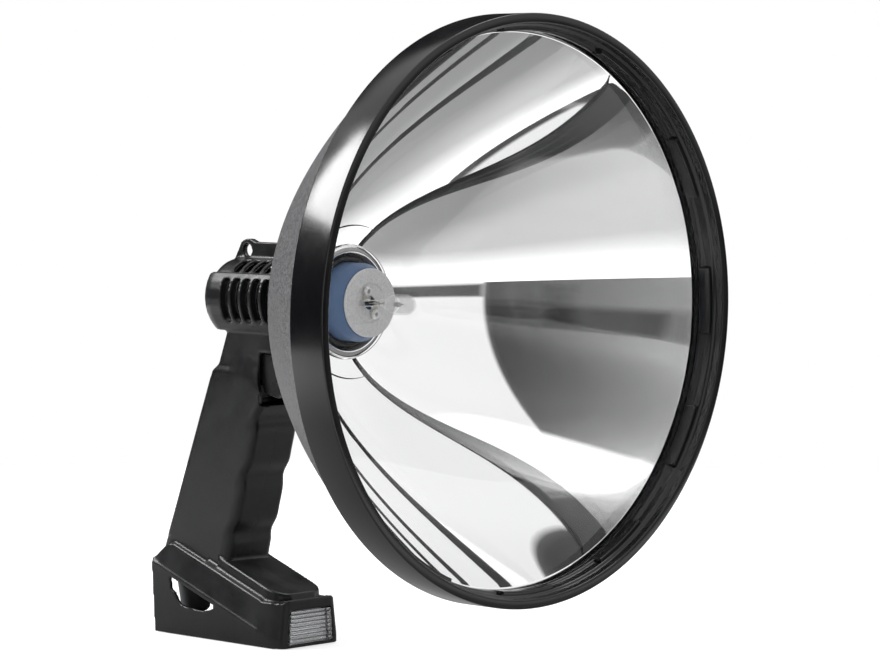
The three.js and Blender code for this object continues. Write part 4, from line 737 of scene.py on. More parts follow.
@dataclass
class Head:
    """Round head: rim with its lugs, cover lens, mirror, shell and neck cap."""

    segments: int = 240
    rim_radius: float = 125.0
    rim_depth: float = 18.5
    rim_round: float = 0.7
    mouth_radius: float = 120.8
    mouth_depth: float = 3.6
    step_radius: float = 119.4
    step_slope: float = 0.8
    skirt_radius: float = 121.6
    seat_radius: float = 118.2
    seat_front: float = 9.0
    seat_depth: float = 11.6
    lug_count: int = 12
    lug_angle: float = 15.5
    lug_height: float = 1.6
    lug_root: float = 1.0
    lug_length: float = 6.4
    lug_gap: float = 0.3
    lug_round: float = 0.5
    lug_fade: float = 1.0
    lug_steps: int = 25
    cover_front: float = 11.9
    cover_back: float = 14.5
    cover_gap: float = 0.4
    cover_ring: float = 60.0
    cover_round: float = 0.5
    bowl_steps: int = 60
    mirror_vertex: float = 119.0
    mirror_bowl: float = 132.0
    mirror_mouth: float = 117.2
    mirror_mouth_land: float = 0.35
    mirror_wall: float = 1.6
    flange_radius: float = 119.5
    flange_front: float = 14.8
    flange_back: float = 16.0
    flange_clear: float = 0.8
    step_ring: float = 33.6
    step_height: float = 0.6
    step_steps: int = 8
    lip_radius: float = 25.0
    lip_depth: float = 112.4
    lip_height: float = 1.3
    lip_round: float = 0.6
    neck_radius: float = 21.6
    neck_wall: float = 1.8
    neck_foot: float = 3.2
    neck_end: float = 117.5
    bore_reach: float = 0.3
    bore_start: float = 0.7
    shell_vertex: float = 124.5
    shell_bowl: float = 142.75
    shell_radius: float = 121.3
    shell_wall: float = 2.2
    shell_lip: float = 119.9
    shell_seat: float = 17.6
    shell_seat_radius: float = 118.15
    shell_seat_clear: float = 1.0
    shell_neck: float = 27.4
    shell_neck_clear: float = 0.3
    shell_neck_floor: float = 118.2
    shell_neck_end: float = 125.0
    shell_neck_bevel: float = 0.4
    fillet_width: float = 0.9
    fillet_height: float = 1.2
    fillet_steps: int = 5
    cap_bore: float = 27.7
    cap_radius: float = 29.7
    cap_start: float = 119.6
    cap_flange: float = 130.5
    cap_end: float = 132.3
    cap_hole: float = 23.0
    cap_round: float = 0.6
    cap_skin: float = 0.3
    cap_ribs: int = 20
    cap_rib_steps: int = 16
    cap_rib_power: int = 6
    cap_rib_height: float = 0.6
    cap_rib_end: float = 0.4
    cap_rib_fade: float = 1.2

    def build(self) -> None:
        """Builds every piece of the head."""
        self.rim()
        self.cover()
        self.mirror()
        self.shell()
        self.cap()

    def rim(self) -> None:
        """Glossy rim: a rounded ring profile, with the lugs that hold a push-on cover."""
        ring = rounded(
            [
                (self.mouth_radius, 0.0),
                (self.rim_radius, 0.0),
                (self.rim_radius, self.rim_depth),
                (self.skirt_radius, self.rim_depth),
                (self.skirt_radius, self.seat_depth),
                (self.seat_radius, self.seat_depth),
                (self.seat_radius, self.seat_front),
                (self.step_radius, self.seat_front - self.step_slope),
                (self.step_radius, self.mouth_depth + self.step_slope),
                (self.mouth_radius, self.mouth_depth),
            ],
            self.rim_round,
        )
        middles = 90.0 + 360.0 / self.lug_count * np.arange(self.lug_count)
        parts = [turned(ring, self.segments), *map(self._lug, np.radians(middles))]
        shown("rim", mesh_of(*joined(parts)), "front_rim", body=Body.HEAD)

    def _lug(self, middle: float) -> Surface:
        """One lug: a rounded oblong of (radius, depth) carried along an arc and drawn in at its ends.

        At share u along the arc the oblong shrinks about its outer edge by the quarter circle
        sqrt(1 - e^2), where e runs from 0 to 1 over the arc's last stretch, the fade.

        Args:
            middle: Angle of the lug's middle about the beam, in radians.

        Returns:
            Its points and quads.
        """
        inner, outer = self.step_radius - self.lug_height, self.step_radius + self.lug_root
        start, end = self.seat_depth - self.lug_length, self.seat_depth - self.lug_gap
        section = rounded([(inner, start), (outer, start), (outer, end), (inner, end)], self.lug_round)
        half = math.radians(self.lug_angle / 2)
        u = np.concatenate(([-1.0], np.linspace(-1.0, 1.0, self.lug_steps), [1.0]))
        into_fade = np.abs(u) * half * inner - (half * inner - self.lug_fade)
        e = np.clip(into_fade / self.lug_fade, 0.0, 1.0)
        share = np.sqrt(1 - e**2)
        share[[0, -1]] = 0.0
        anchor = np.array([outer, (start + end) / 2])
        grown = anchor + (section - anchor)[None] * np.maximum(share, 1e-4)[:, None, None]
        points = about_beam(grown[..., 0], grown[..., 1], (middle + u * half)[:, None])
        return points, grid_quads(len(u), len(section))

    def cover(self) -> None:
        """Flat clear cover lens with a rounded edge."""
        radii = (0.0, self.cover_ring, self.skirt_radius - self.cover_gap)
        front = [(radius, self.cover_front) for radius in radii]
        back = [(radius, self.cover_back) for radius in reversed(radii)]
        cover = turned(rounded(front + back, self.cover_round), self.segments)
        shown("cover", mesh_of(*cover), "front_lens", sharp=30.0, body=Body.HEAD)

    def _bowl(
        self, r: np.ndarray, vertex: float, bowl: float, wall: float
    ) -> tuple[np.ndarray, np.ndarray]:
        """Outline of a bowl, depth = vertex - r^2 / bowl, and of its other side, a wall behind it.

        Args:
            r: Radii of the outline's points.
            vertex: Depth where the bowl would meet its axis.
            bowl: Four times its focal length.
            wall: Thickness of the wall; negative if the other side lies in front.

        Returns:
            The two outlines, as rows of radius and depth.
        """
        face = np.stack((r, vertex - r**2 / bowl), -1)
        slope = 2 * r / bowl
        length = np.hypot(slope, 1.0)
        return face, face + wall * np.stack((slope / length, 1 / length), -1)

    def mirror(self) -> None:
        """Mirror: a bowl with a step ring and a neck lip, whose uncoated neck bore is dull."""
        r = np.linspace(self.mirror_mouth, self.step_ring, self.bowl_steps)
        face, back = self._bowl(r, self.mirror_vertex, self.mirror_bowl, self.mirror_wall)
        back = back[back[:, 1] > self.flange_back + self.flange_clear][::-1]
        low = np.linspace(self.step_ring, self.lip_radius, self.step_steps)
        floor, _ = self._bowl(low, self.mirror_vertex, self.mirror_bowl, self.mirror_wall)
        outer = self.neck_radius + self.neck_wall
        lip = rounded(
            [
                (self.lip_radius, self.lip_depth + self.lip_height),
                (self.lip_radius, self.lip_depth),
                (self.neck_radius, self.lip_depth),
                (self.neck_radius, self.neck_end),
                (outer, self.neck_end),
            ],
            self.lip_round,
        )
        outline = np.concatenate(
            (
                [
                    (self.flange_radius, self.flange_back),
                    (self.flange_radius, self.flange_front),
                    (self.mirror_mouth + self.mirror_mouth_land, self.flange_front),
                ],
                face,
                floor - (0.0, self.step_height),
                lip[3:-3],
                [(outer, self.neck_end), (outer, self.lip_depth + self.neck_foot)],
                back,
                [(self.mirror_mouth + self.mirror_wall, self.flange_back)],
            )
        )
        mesh = mesh_of(*turned(outline, self.segments))
        shown("mirror", mesh, "reflector", sharp=25.0, body=Body.HEAD)
        mesh.materials.append(NECK_METAL.material())
        middles = np.empty(len(mesh.polygons) * 3)
        mesh.polygons.foreach_get("center", middles)
        x, y, z = middles.reshape(-1, 3).T / MM
        near = np.hypot(x, z - BEAM_HEIGHT) < self.neck_radius + self.bore_reach
        bore = near & (y + BEAM_REACH > self.lip_depth + self.bore_start)
        mesh.polygons.foreach_set("material_index", bore.astype(np.int32))

    def shell(self) -> None:
        """Textured shell: a bowl, one wall thicker than its inside, with a fillet to its neck."""
        r = np.linspace(self.shell_radius, self.shell_neck + self.fillet_width, self.bowl_steps)
        outside, inside = self._bowl(r, self.shell_vertex, self.shell_bowl, -self.shell_wall)
        neck, end = self.shell_neck, self.shell_neck_end
        bore = neck - self.shell_wall
        inside = inside[
            (inside[:, 1] > self.shell_seat + self.shell_seat_clear)
            & (inside[:, 0] > bore + self.shell_neck_clear)
        ]
        corner = np.array([neck, self.shell_vertex - neck**2 / self.shell_bowl])
        fillet = parabola(outside[-1], corner, corner + (0.0, self.fillet_height), self.fillet_steps)
        outline = np.concatenate(
            (
                [(self.shell_lip, self.flange_front), (self.shell_radius, self.flange_front)],
                outside[:-1],
                fillet,
                [
                    (neck, end - self.shell_neck_bevel),
                    (neck - self.shell_neck_bevel, end),
                    (bore, end),
                    (bore, self.shell_neck_floor),
                ],
                inside[::-1],
                [(self.shell_seat_radius, self.shell_seat), (self.shell_lip, self.shell_seat)],
            )
        )
        mesh = mesh_of(*turned(outline, self.segments))
        shown("shell", mesh, "rear_shell", sharp=30.0, body=Body.HEAD)

    def cap(self) -> None:
        """Neck cap: a flanged ring whose outside swells into ribs.

        The outer radius at angle q is base + height * max(0, cos(n q))^6, n being the rib count,
        and the ribs fade out before the cap's end.
        """
        outline = rounded(
            [
                (self.cap_bore, self.cap_start),
                (self.cap_radius, self.cap_start),
                (self.cap_radius, self.cap_end),
                (self.cap_hole, self.cap_end),
                (self.cap_hole, self.cap_flange),
                (self.cap_bore, self.cap_flange),
            ],
            self.cap_round,
        )
        segments = self.cap_ribs * self.cap_rib_steps
        points, quads = turned(outline, segments)
        q = np.tile(around(segments)[0], len(outline))
        radius, depth = np.repeat(outline, segments, axis=0).T
        taper = np.clip((self.cap_end - self.cap_rib_end - depth) / self.cap_rib_fade, 0.0, 1.0)
        ribs = np.clip(np.cos(self.cap_ribs * q), 0.0, 1.0) ** self.cap_rib_power
        outside = radius > self.cap_radius - self.cap_skin
        grow = np.where(outside, ribs * self.cap_rib_height * taper, 0.0)
        points[:, 0] += grow * np.cos(q)
        points[:, 2] += grow * np.sin(q)
        shown("cap", mesh_of(points, quads), "neck_cap", body=Body.HEAD)


@dataclass
class Bulb:
    """Halogen bulb with its socket, disc, eyelets and contact strips."""

    segments: int = 96
    plate_front: float = 99.6
    plate_thickness: float = 1.5
    plate_radius: float = 15.2
    plate_bore: float = 3.0
    plate_gap: float = 0.3
    plate_round: float = 0.35
    recess_radius: float = 8.4
    recess_depth: float = 0.5
    recess_slope: float = 0.5
    socket_radius: float = 17.4
    socket_nose: float = 15.5
    socket_nose_length: float = 4.4
    socket_bevel: Pair = (0.3, 0.6)
    socket_round: float = 0.6
    socket_end: float = 127.6
    flange_radius: float = 18.8
    flange_start: float = 119.7
    flange_end: float = 122.7
    rivet_segments: int = 48
    rivet_dome: tuple[Pair, ...] = ((0.8, 0.5), (1.15, 0.0), (1.61, 0.1), (2.3, 0.75))
    rivet_height: float = 1.1
    rivet_flange: float = 0.6
    rivet_shank: float = 1.25
    rivet_length: float = 3.0
    rivet_round: float = 0.3
    rivet_across: float = 2.3
    rivet_up: float = 5.1
    clip_thickness: float = 0.4
    clip_voxel: float = 0.13
    clip_passes: int = 2
    pinch_start: float = 92.5
    pinch_length: float = 6.4
    pinch_sides: int = 48
    plug_gap: float = 0.3
    plug_bevel: float = 0.3
    capsule_segments: int = 64
    capsule_steps: int = 20
    capsule_radius: float = 4.6
    capsule_wall: float = 0.8
    capsule_tip: float = 73.4
    capsule_gap: float = 0.6
    drawn_tip: float = 0.8
    filament_depth: float = 83.0
    filament_radius: float = 0.9
    filament_wire: float = 0.22
    filament_sides: int = 8
    filament_turns: int = 5
    filament_steps: int = 24
    filament_length: float = 3.0
    leg_sink: float = 0.9
    leg_top: float = 0.3
    leg_clear: float = 1.1
    leg_lean: float = 0.2

    def build(self) -> None:
        """Builds every piece of the bulb and its socket."""
        self.socket()
        self.disc()
        self.eyelets()
        for i in (1, 2):
            node = f"contact_clip_{i}"
            shown(f"strip_{i}", softened(node, self.clip_voxel, self.clip_passes), node)
        self.envelope()
        self.pinch()
        self.filament()

    def socket(self) -> None:
        """Blue socket: a turned body with a rounded nose and a flange."""
        front = self.plate_front + self.plate_thickness + self.plate_gap
        nose, radius, flange = self.socket_nose, self.socket_radius, self.flange_radius
        outline = rounded(
            [
                (0.0, front),
                (nose, front),
                (nose + self.socket_bevel[0], front + self.socket_bevel[1]),
                (radius, front + self.socket_nose_length),
                (radius, self.flange_start),
                (flange, self.flange_start),
                (flange, self.flange_end),
                (radius, self.flange_end),
                (radius, self.socket_end),
                (0.0, self.socket_end),
            ],
            self.socket_round,
        )
        shown("socket", mesh_of(*turned(outline, self.segments)), "bulb_socket")

    def disc(self) -> None:
        """Satin disc on the socket, with a round recess and a turned edge."""
        front, back = self.plate_front, self.plate_front + self.plate_thickness
        low = front + self.recess_depth
        outline = rounded(
            [
                (self.plate_bore, low),
                (self.recess_radius, low),
                (self.recess_radius + self.recess_slope, front),
                (self.plate_radius, front),
                (self.plate_radius, back),
                (self.plate_bore, back),
            ],
            self.plate_round,
        )
        shown("disc", mesh_of(*turned(outline, self.segments)), "socket_plate", sharp=30.0)

    def eyelets(self) -> None:
        """Two eyelets: a domed flange with a round hole, turned about its own axis.

        The dome is given by radii and by depths behind its top, from the bore to the outer edge.
        """
        seat = self.plate_front + self.recess_depth - self.clip_thickness - self.rivet_flange
        dome = [(r, seat - self.rivet_height + s) for r, s in self.rivet_dome]
        (bore, _), (radius, _) = dome[0], dome[-1]
        shank, foot = self.rivet_shank, seat + self.rivet_length
        below = [(radius, seat), (shank, seat), (shank, foot), (bore, foot)]
        outline = rounded(dome + below, self.rivet_round)
        for i, side in ((1, -1), (2, 1)):
            points, quads = turned(outline, self.rivet_segments)
            points += (side * self.rivet_across, 0.0, -side * self.rivet_up)
            shown(f"eyelet_{i}", mesh_of(points, quads), f"contact_rivet_{i}")

    def envelope(self) -> None:
        """Glass cup: a tube with a round end outside and inside, and a small drawn tip."""
        mouth = self.pinch_start - self.pinch_length - self.capsule_gap
        shoulder = self.capsule_tip + self.capsule_radius
        q = np.linspace(0.0, np.pi / 2, self.capsule_steps)
        radii = (self.capsule_radius, self.capsule_radius - self.capsule_wall)
        outside, inside = (np.stack((r * np.cos(q), shoulder - r * np.sin(q)), -1) for r in radii)
        outside[:, 1] -= self.drawn_tip * np.exp(-((outside[:, 0] / self.drawn_tip) ** 2))
        outside[-1, 0] = inside[-1, 0] = 0.0
        outline = np.concatenate(([(radii[1], mouth), (radii[0], mouth)], outside, inside[::-1]))
        capsule = turned(outline, self.capsule_segments)
        shown("capsule", mesh_of(*capsule), "bulb_envelope", sharp=60.0)

    def pinch(self) -> None:
        """Pinched glass: rings that go from a flat oblong at the pins to a round plug.

        A ring is the superellipse |x/a|^n + |z/b|^n = 1, with n falling from 5 to 2. A row of the
        table is the ring's distance from the pins, a, b and n.
        """
        plug = self.capsule_radius - self.capsule_wall - self.plug_gap
        end = plug - self.plug_bevel
        table = (
            (0.0, 1.6, 0.9, 5.0),
            (0.25, 2.2, 1.3, 5.0),
            (0.7, 2.45, 1.5, 5.0),
            (2.0, 2.8, 2.1, 4.0),
            (4.2, 3.0, 3.1, 3.0),
            (5.6, 3.0, 3.6, 2.4),
            (6.3, plug, plug, 2.0),
            (6.6, plug, plug, 2.0),
            (6.95, end, end, 2.0),
        )
        away, a, b, n = np.array((table[0], *table, table[-1])).T[..., None]
        a[[0, -1]] = b[[0, -1]] = 0.0
        q = around(self.pinch_sides)
        x = a * np.sign(np.cos(q)) * np.abs(np.cos(q)) ** (2 / n)
        z = b * np.sign(np.sin(q)) * np.abs(np.sin(q)) ** (2 / n)
        points = placed(x, self.pinch_start - away - BEAM_REACH, BEAM_HEIGHT + z)
        shown("pinch", mesh_of(points, grid_quads(*x.shape)), "bulb_pinch", sharp=50.0)

    def filament(self) -> None:
        """Coiled wire: a tube carried along a helix and two legs."""
        t = np.linspace(0.0, 1.0, self.filament_turns * self.filament_steps)
        start = self.filament_depth + self.filament_length / 2
        end, middle = start - self.filament_length, start - self.filament_length / 2
        q = 2 * np.pi * self.filament_turns * t
        r = self.filament_radius
        coil = np.stack((r * np.cos(q), start - self.filament_length * t, r * np.sin(q)), -1)
        foot = self.pinch_start - self.pinch_length - self.leg_sink
        clear = r + self.leg_clear
        legs_in = [(r, foot, 0.0), (r, start + self.leg_top, 0.0)]
        legs_out = [
            (clear, end - self.filament_wire, 0.0),
            (clear + self.leg_lean, middle, 0.0),
            (clear + self.leg_lean, foot, 0.0),
        ]
        path = np.concatenate((legs_in, coil, legs_out)) + (0.0, -BEAM_REACH, BEAM_HEIGHT)
        wire = tube(path, self.filament_wire, self.filament_sides)
        shown("filament", mesh_of(*wire), "bulb_filament")


@dataclass(frozen=True)
class Bead:
    """A rounded ridge along the foot, through points given for its right half."""

    path: tuple[Triple, ...]
    radius: float
    sides: int = 10
    spacing: float = 0.6

    def surface(self, outward: float) -> Surface:
        """Tube along the bead's path, with evenly spaced rings.

        Args:
            outward: Sign of X on the half's own side.

        Returns:
            Its points and quads.
        """
        corners = np.array(self.path) * (outward, 1.0, 1.0)
        at = lengths_along(corners)
        fine = np.linspace(0.0, at[-1], int(at[-1] / self.spacing) + 2)
        path = np.stack([np.interp(fine, at, column) for column in corners.T], -1)
        return tube(path, self.radius, self.sides)


FOOT_BEADS = (
    Bead(((16.1, -27.0, 20.4), (16.1, 31.0, 40.7), (15.6, 34.0, 40.9)), 1.15),
    Bead(((18.5, -27.0, 7.5), (18.5, 43.0, 32.4)), 0.9),
    Bead(((14.8, -1.0, 30.1), (14.8, 11.0, 34.3)), 1.35),
    Bead(((-3.0, -41.4, 21.3), (13.5, -41.4, 21.3)), 0.9),
)
# Half of the grip's section, in shares of its half width and of its depth from the rear.
GRIP_SECTION = np.array(
    [
        (0.0, 0.0), (0.4, 0.0), (0.71, 0.0), (0.86, 0.014), (0.96, 0.05), (1.0, 0.1), (1.0, 0.3),
        (1.0, 0.6), (1.0, 0.88), (0.97, 0.94), (0.9, 0.98), (0.78, 1.0), (0.4, 1.0), (0.0, 1.0),
    ]
)
# Where extra smoothing of the shoulder starts and is full, by the number of an axis.
SHOULDER_RAMPS = (
    (0, 10.0, 11.5), (1, -23.0, -21.0), (1, -3.0, -7.0), (2, 115.5, 117.5), (2, 130.0, 128.0)
)


@dataclass
class Handle:
    """Handle: two moulded halves, trigger and screws."""

    grip_half_width: float = 14.0
    grip_foot_height: float = 42.0
    grip_rear_at_foot: float = 42.1
    grip_front_at_foot: float = -2.8
    grip_rear_lean: float = 32.2
    grip_front_lean: float = 24.9
    grip_steps: int = 400
    grip_margin: float = 3.0
    shoulder_height: float = 122.4
    finger_pitch: float = 26.4
    finger_height: float = 1.0
    finger_rise: float = 15.0
    finger_skew: float = 0.9
    draw_reach: float = 1.0
    seam: float = 0.04
    seam_reach: float = 0.2
    overlap: float = 2.4
    skin_voxel: float = 0.7
    skin_passes: int = 4
    shoulder_passes: int = 60
    trigger_voxel: float = 0.4
    trigger_passes: int = 4
    screw_voxel: float = 0.22
    screw_passes: int = 2

    def build(self) -> None:
        """Builds the halves, the trigger and the six screws."""
        self.half("left", -1.0)
        self.half("right", 1.0)
        blade = softened("trigger", self.trigger_voxel, self.trigger_passes)
        shown("trigger_blade", blade, "trigger", sharp=60.0, body=Body.TRIGGER)
        for place in ("barrel", "neck", "upper_grip", "lower_grip", "front_foot", "rear_foot"):
            screw = softened(f"{place}_screw", self.screw_voxel, self.screw_passes)
            shown(f"screw_{place}", screw, f"{place}_screw", sharp=60.0)

    def half(self, side: str, outward: float) -> None:
        """One moulded half: the CAD half under an even skin, its grip drawn to the true outline.

        Its parting face is first moved past the middle, so that the skin's rounded edge is cut off
        again and the two halves meet in a fine line.

        Args:
            side: The half's side.
            outward: Sign of X on that side.
        """
        mesh = node_copy(f"handle_{side}")
        points = points_of(mesh)
        points[np.abs(points[:, 0]) < self.seam_reach, 0] = -outward * self.overlap
        set_points(mesh, points)
        add_to(mesh, [bead.surface(outward) for bead in FOOT_BEADS])
        mesh = revoxeled(mesh, self.skin_voxel)
        set_points(mesh, self._drawn_to_grip(points_of(mesh)))
        relaxed(mesh, self.skin_passes)
        relaxed(mesh, self.shoulder_passes, push=0.0, weight=self._at_shoulder(points_of(mesh)))
        cut_at_seam(mesh, outward, self.seam)
        shown(f"half_{side}", mesh, f"handle_{side}", sharp=60.0)

    def _at_shoulder(self, points: np.ndarray) -> np.ndarray:
        """Share of extra smoothing: 1 on the shoulder's sides in front of the short groove.

        It is the product of the ramps in |x|, y and z, each clipped to between 0 and 1.

        Args:
            points: Points in millimetres.

        Returns:
            The share of each point.
        """
        by_axis = np.abs(points[:, 0]), points[:, 1], points[:, 2]
        ramps = [(by_axis[axis] - none) / (full - none) for axis, none, full in SHOULDER_RAMPS]
        return np.prod(np.clip(ramps, 0.0, 1.0), axis=0)

    def _outline(self) -> tuple[np.ndarray, np.ndarray]:
        """Smooth grip outline in shares of half width and depth, seen from the section's middle.

        Returns:
            The polar angles of its points, rising, and their radii.
        """
        at = lengths_along(GRIP_SECTION)
        fine = np.linspace(0.0, at[-1], self.grip_steps)
        across, along = (catmull(at, column, fine) for column in GRIP_SECTION.T)
        angle = np.arctan2(across, along - 0.5)
        order = np.argsort(angle)
        return angle[order], np.hypot(across, along - 0.5)[order]

    def _drawn_to_grip(self, points: np.ndarray) -> np.ndarray:
        """Moves the points of the grip's outer skin onto its smooth outline.

        At height z the rear line is rear - lean * (z - foot), and the front line is front - lean *
        (z - foot) - height * cos(p - skew * (1 - cos p)), where p is 2 pi (z - foot - first
        finger) / pitch. In shares of half width and depth the outline is one closed curve. A point
        near it moves onto it along its ray from the middle.

        Args:
            points: Points in millimetres.

        Returns:
            The moved points.
        """
        x, y, z = points.T
        span = self.shoulder_height - self.grip_foot_height
        rise = z - self.grip_foot_height
        rear = self.grip_rear_at_foot - self.grip_rear_lean / span * rise
        phase = 2 * np.pi * (rise - self.finger_rise) / self.finger_pitch
        phase = phase - self.finger_skew * (1 - np.cos(phase))
        front = self.grip_front_at_foot - self.grip_front_lean / span * rise
        front = front - self.finger_height * np.cos(phase)
        depth = rear - front
        a, b = np.abs(x) / self.grip_half_width, (rear - y) / depth - 0.5
        angles, radii = self._outline()
        ratio = np.interp(np.arctan2(a, b), angles, radii) / np.maximum(np.hypot(a, b), 1e-6)
        moved = np.stack((x * ratio, rear - (b * ratio + 0.5) * depth, z), -1)
        away = np.linalg.norm(moved - points, axis=1)
        on_grip = (rise > self.grip_margin) & (z < self.shoulder_height - self.grip_margin)
        return np.where((on_grip & (away < self.draw_reach))[:, None], moved, points)


def lengths_along(points: np.ndarray) -> np.ndarray:
    """Length of a path from its first point to each of its points."""
    return np.concatenate(([0.0], np.cumsum(np.linalg.norm(np.diff(points, axis=0), axis=1))))


def catmull(at: np.ndarray, values: np.ndarray, fine: np.ndarray) -> np.ndarray:
    """Smooth curve through values, in cubic spans.

    The slope at a value is the mean of the two chords beside it, or 0 where one of them is flat.

    Args:
        at: Rising places of the values.
        values: The values.
        fine: Places to read the curve at.

    Returns:
        The curve's values there.
    """
    chord = np.diff(values) / np.diff(at)
    slope = np.concatenate(([chord[0]], (chord[1:] + chord[:-1]) / 2, [chord[-1]]))
    flat = np.concatenate(([False], (chord[1:] == 0) | (chord[:-1] == 0), [False]))
    slope = np.where(flat, 0.0, slope)
    i = np.clip(np.searchsorted(at, fine, side="right") - 1, 0, len(at) - 2)
    width = at[i + 1] - at[i]
    t = (fine - at[i]) / width
    return (
        (2 * t**3 - 3 * t**2 + 1) * values[i]
        + (t**3 - 2 * t**2 + t) * width * slope[i]
        + (3 * t**2 - 2 * t**3) * values[i + 1]
        + (t**3 - t**2) * width * slope[i + 1]
    )


@dataclass
class Foot:
    """Loose pieces of the foot: cable gland and map light lens."""

    window_front: float = -42.7
    window_seat: float = -39.2
    window_low: float = 2.2
    window_high: float = 16.7
    window_bottom_half: float = 13.5
    window_taper: float = 1.1
    window_edge: float = 0.45
    window_steps: int = 15
    rib_count: int = 8
    rib_depth: float = 0.9
    rib_steps: int = 12
    gland_segments: int = 64
    gland_y: float = 35.2
    gland_mouth: float = 8.8
    gland_mouth_radius: float = 6.6
    gland_mouth_bore: float = 3.0
    gland_bevel: float = 1.6
    gland_shoulder: float = 24.0
    gland_shoulder_radius: float = 8.5
    gland_shoulder_depth: float = 0.6
    gland_neck: float = 4.0
    gland_top: float = 42.6
    gland_round: float = 0.9

    def build(self) -> None:
        """Builds the gland and the lens."""
        self.gland()
        self.lens()

    def gland(self) -> None:
        """Cable gland: a turned rubber body, open below, round an upright axis."""
        mouth, shoulder = self.gland_mouth, self.gland_shoulder + self.gland_shoulder_depth
        outline = rounded(
            [
                (self.gland_mouth_bore, mouth),
                (self.gland_mouth_radius - self.gland_bevel, mouth),
                (self.gland_mouth_radius, mouth + self.gland_bevel),
                (self.gland_shoulder_radius, self.gland_shoulder),
                (self.gland_shoulder_radius, shoulder),
                (self.gland_neck, shoulder),
                (self.gland_neck, self.gland_top),
                (self.gland_mouth_bore, self.gland_top),
            ],
            self.gland_round,
        )
        q = around(self.gland_segments)
        r, z = outline[:, :1], outline[:, 1:]
        points = placed(r * np.cos(q), self.gland_y + r * np.sin(q), z)
        quads = grid_quads(len(outline), self.gland_segments, close_rows=True)
        shown("gland", mesh_of(points, quads), "cable_gland")

    def lens(self) -> None:
        """Map light lens: flat and soft-edged in front, with round ribs lying across its back.

        With t running from 0 at the bottom to 1 at the top, the half width is bottom - taper t and
        the back lies at seat + depth (1 - cos(2 pi ribs t)) / 2.
        """
        t = np.linspace(0.0, 1.0, self.rib_count * self.rib_steps + 1)[:, None]
        z = self.window_low + (self.window_high - self.window_low) * t
        half = self.window_bottom_half - self.window_taper * t
        face = np.linspace(-1.0, 1.0, self.window_steps)[None, :] * (half - self.window_edge)
        front = self.window_front + 0 * face
        edge = self.window_front + self.window_edge + 0 * t
        wave = (1 - np.cos(2 * np.pi * self.rib_count * t)) / 2
        back = self.window_seat + self.rib_depth * wave
        x = np.concatenate((face, half, half, -face, -half, -half), 1)
        y = np.concatenate((front, edge, back, back + 0 * face, back, edge), 1)
        rings = np.stack(np.broadcast_arrays(x, y, z), -1)
        ends = rings[[0, -1]]
        ends[..., 1] = (self.window_front + self.window_seat) / 2
        rings = np.concatenate((ends[:1], rings, ends[1:]))
        ribbed = mesh_of(rings.reshape(-1, 3), grid_quads(*rings.shape[:2]))
        shown("ribbed_lens", ribbed, "map_light_lens", sharp=50.0)


def dress_nodes() -> None:
    """Gives every CAD node its procedural finish; the replaced ones keep it for export."""
    for node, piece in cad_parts.items():
        piece.data.materials.clear()
        piece.data.materials.append(NODE_FINISHES.get(node, STEEL).material())


# The studio


def standing(right: np.ndarray, back: np.ndarray, place: Triple) -> Matrix:
    """Matrix of a camera or lamp, whose view runs against its back axis.

    Args:
        right: Its right axis.
        back: Its back axis.
        place: Where it stands, in metres.

    Returns:
        The matrix, with both axes made of length 1.
    """
    right, back = (axis / np.linalg.norm(axis) for axis in (right, back))
    turn = np.eye(4)
    turn[:3] = np.stack((right, np.cross(back, right), back, place), -1)
    return Matrix(turn.tolist())


@dataclass(frozen=True)
class Card:
    """A studio card on a sphere round the object, which only reflections show.

    Azimuths are in degrees from the beam towards +X, elevations in degrees above the horizon.
    """

    name: str
    azimuths: Pair
    elevations: Pair
    shades: Pair
    softness: float = 4.0
    distance: float = 3.0
    middle: Triple = (0.0, -0.1, 0.15)
    steps: int = 33

    def build(self) -> None:
        """Builds the card, with its shade and its softened edge as attributes.

        A point at azimuth a and elevation e lies at middle + distance (cos e sin a, -cos e cos a,
        sin e). The shade runs evenly from the first azimuth to the last, and the cover rises from 0
        at the edges as 3 t^2 - 2 t^3 over the softness.
        """
        a = np.linspace(*self.azimuths, self.steps)[:, None]
        e = np.linspace(*self.elevations, self.steps)[None, :]
        to_side = np.minimum(a - self.azimuths[0], self.azimuths[1] - a)
        to_end = np.minimum(e - self.elevations[0], self.elevations[1] - e)
        t = np.clip(np.minimum(to_side, to_end) / self.softness, 0.0, 1.0)
        shade = np.linspace(*self.shades, self.steps)[:, None] + 0 * e
        a, e = np.radians(a), np.radians(e)
        points = placed(np.cos(e) * np.sin(a), -np.cos(e) * np.cos(a), np.sin(e))
        mesh = bpy.data.meshes.new(self.name)
        quads = grid_quads(self.steps, self.steps, close_cols=False)
        mesh.from_pydata((points * self.distance + self.middle).tolist(), [], quads.tolist())
        for label, values in (("shade", shade), ("cover", 3 * t**2 - 2 * t**3)):
            attribute = mesh.attributes.new(label, "FLOAT", "POINT")
            attribute.data.foreach_set("value", values.astype(np.float32).ravel())
        mesh.materials.append(self._paper())
        card = linked(self.name, mesh)
        card.visible_camera = card.visible_diffuse = card.visible_shadow = False
        card.visible_transmission = False

    def _paper(self) -> bpy.types.Material:
        """Material of the cards: their shade as their own light, their cover as alpha.

        Returns:
            The material, which all cards share.
        """
        made = bpy.data.materials.get("studio_card")
        if made:
            return made
        made = bpy.data.materials.new("studio_card")
        made.use_nodes = True
        tree = made.node_tree
        values = {
            "Base Color": (0.0, 0.0, 0.0, 1.0),
            "Specular IOR Level": 0.0,
            "Emission Strength": 1.0,
            "Emission Color": added(tree, "Attribute", attribute_name="shade").outputs["Fac"],
            "Alpha": added(tree, "Attribute", attribute_name="cover").outputs["Fac"],
        }
        fed(tree, tree.nodes["Principled BSDF"], values)
        return made


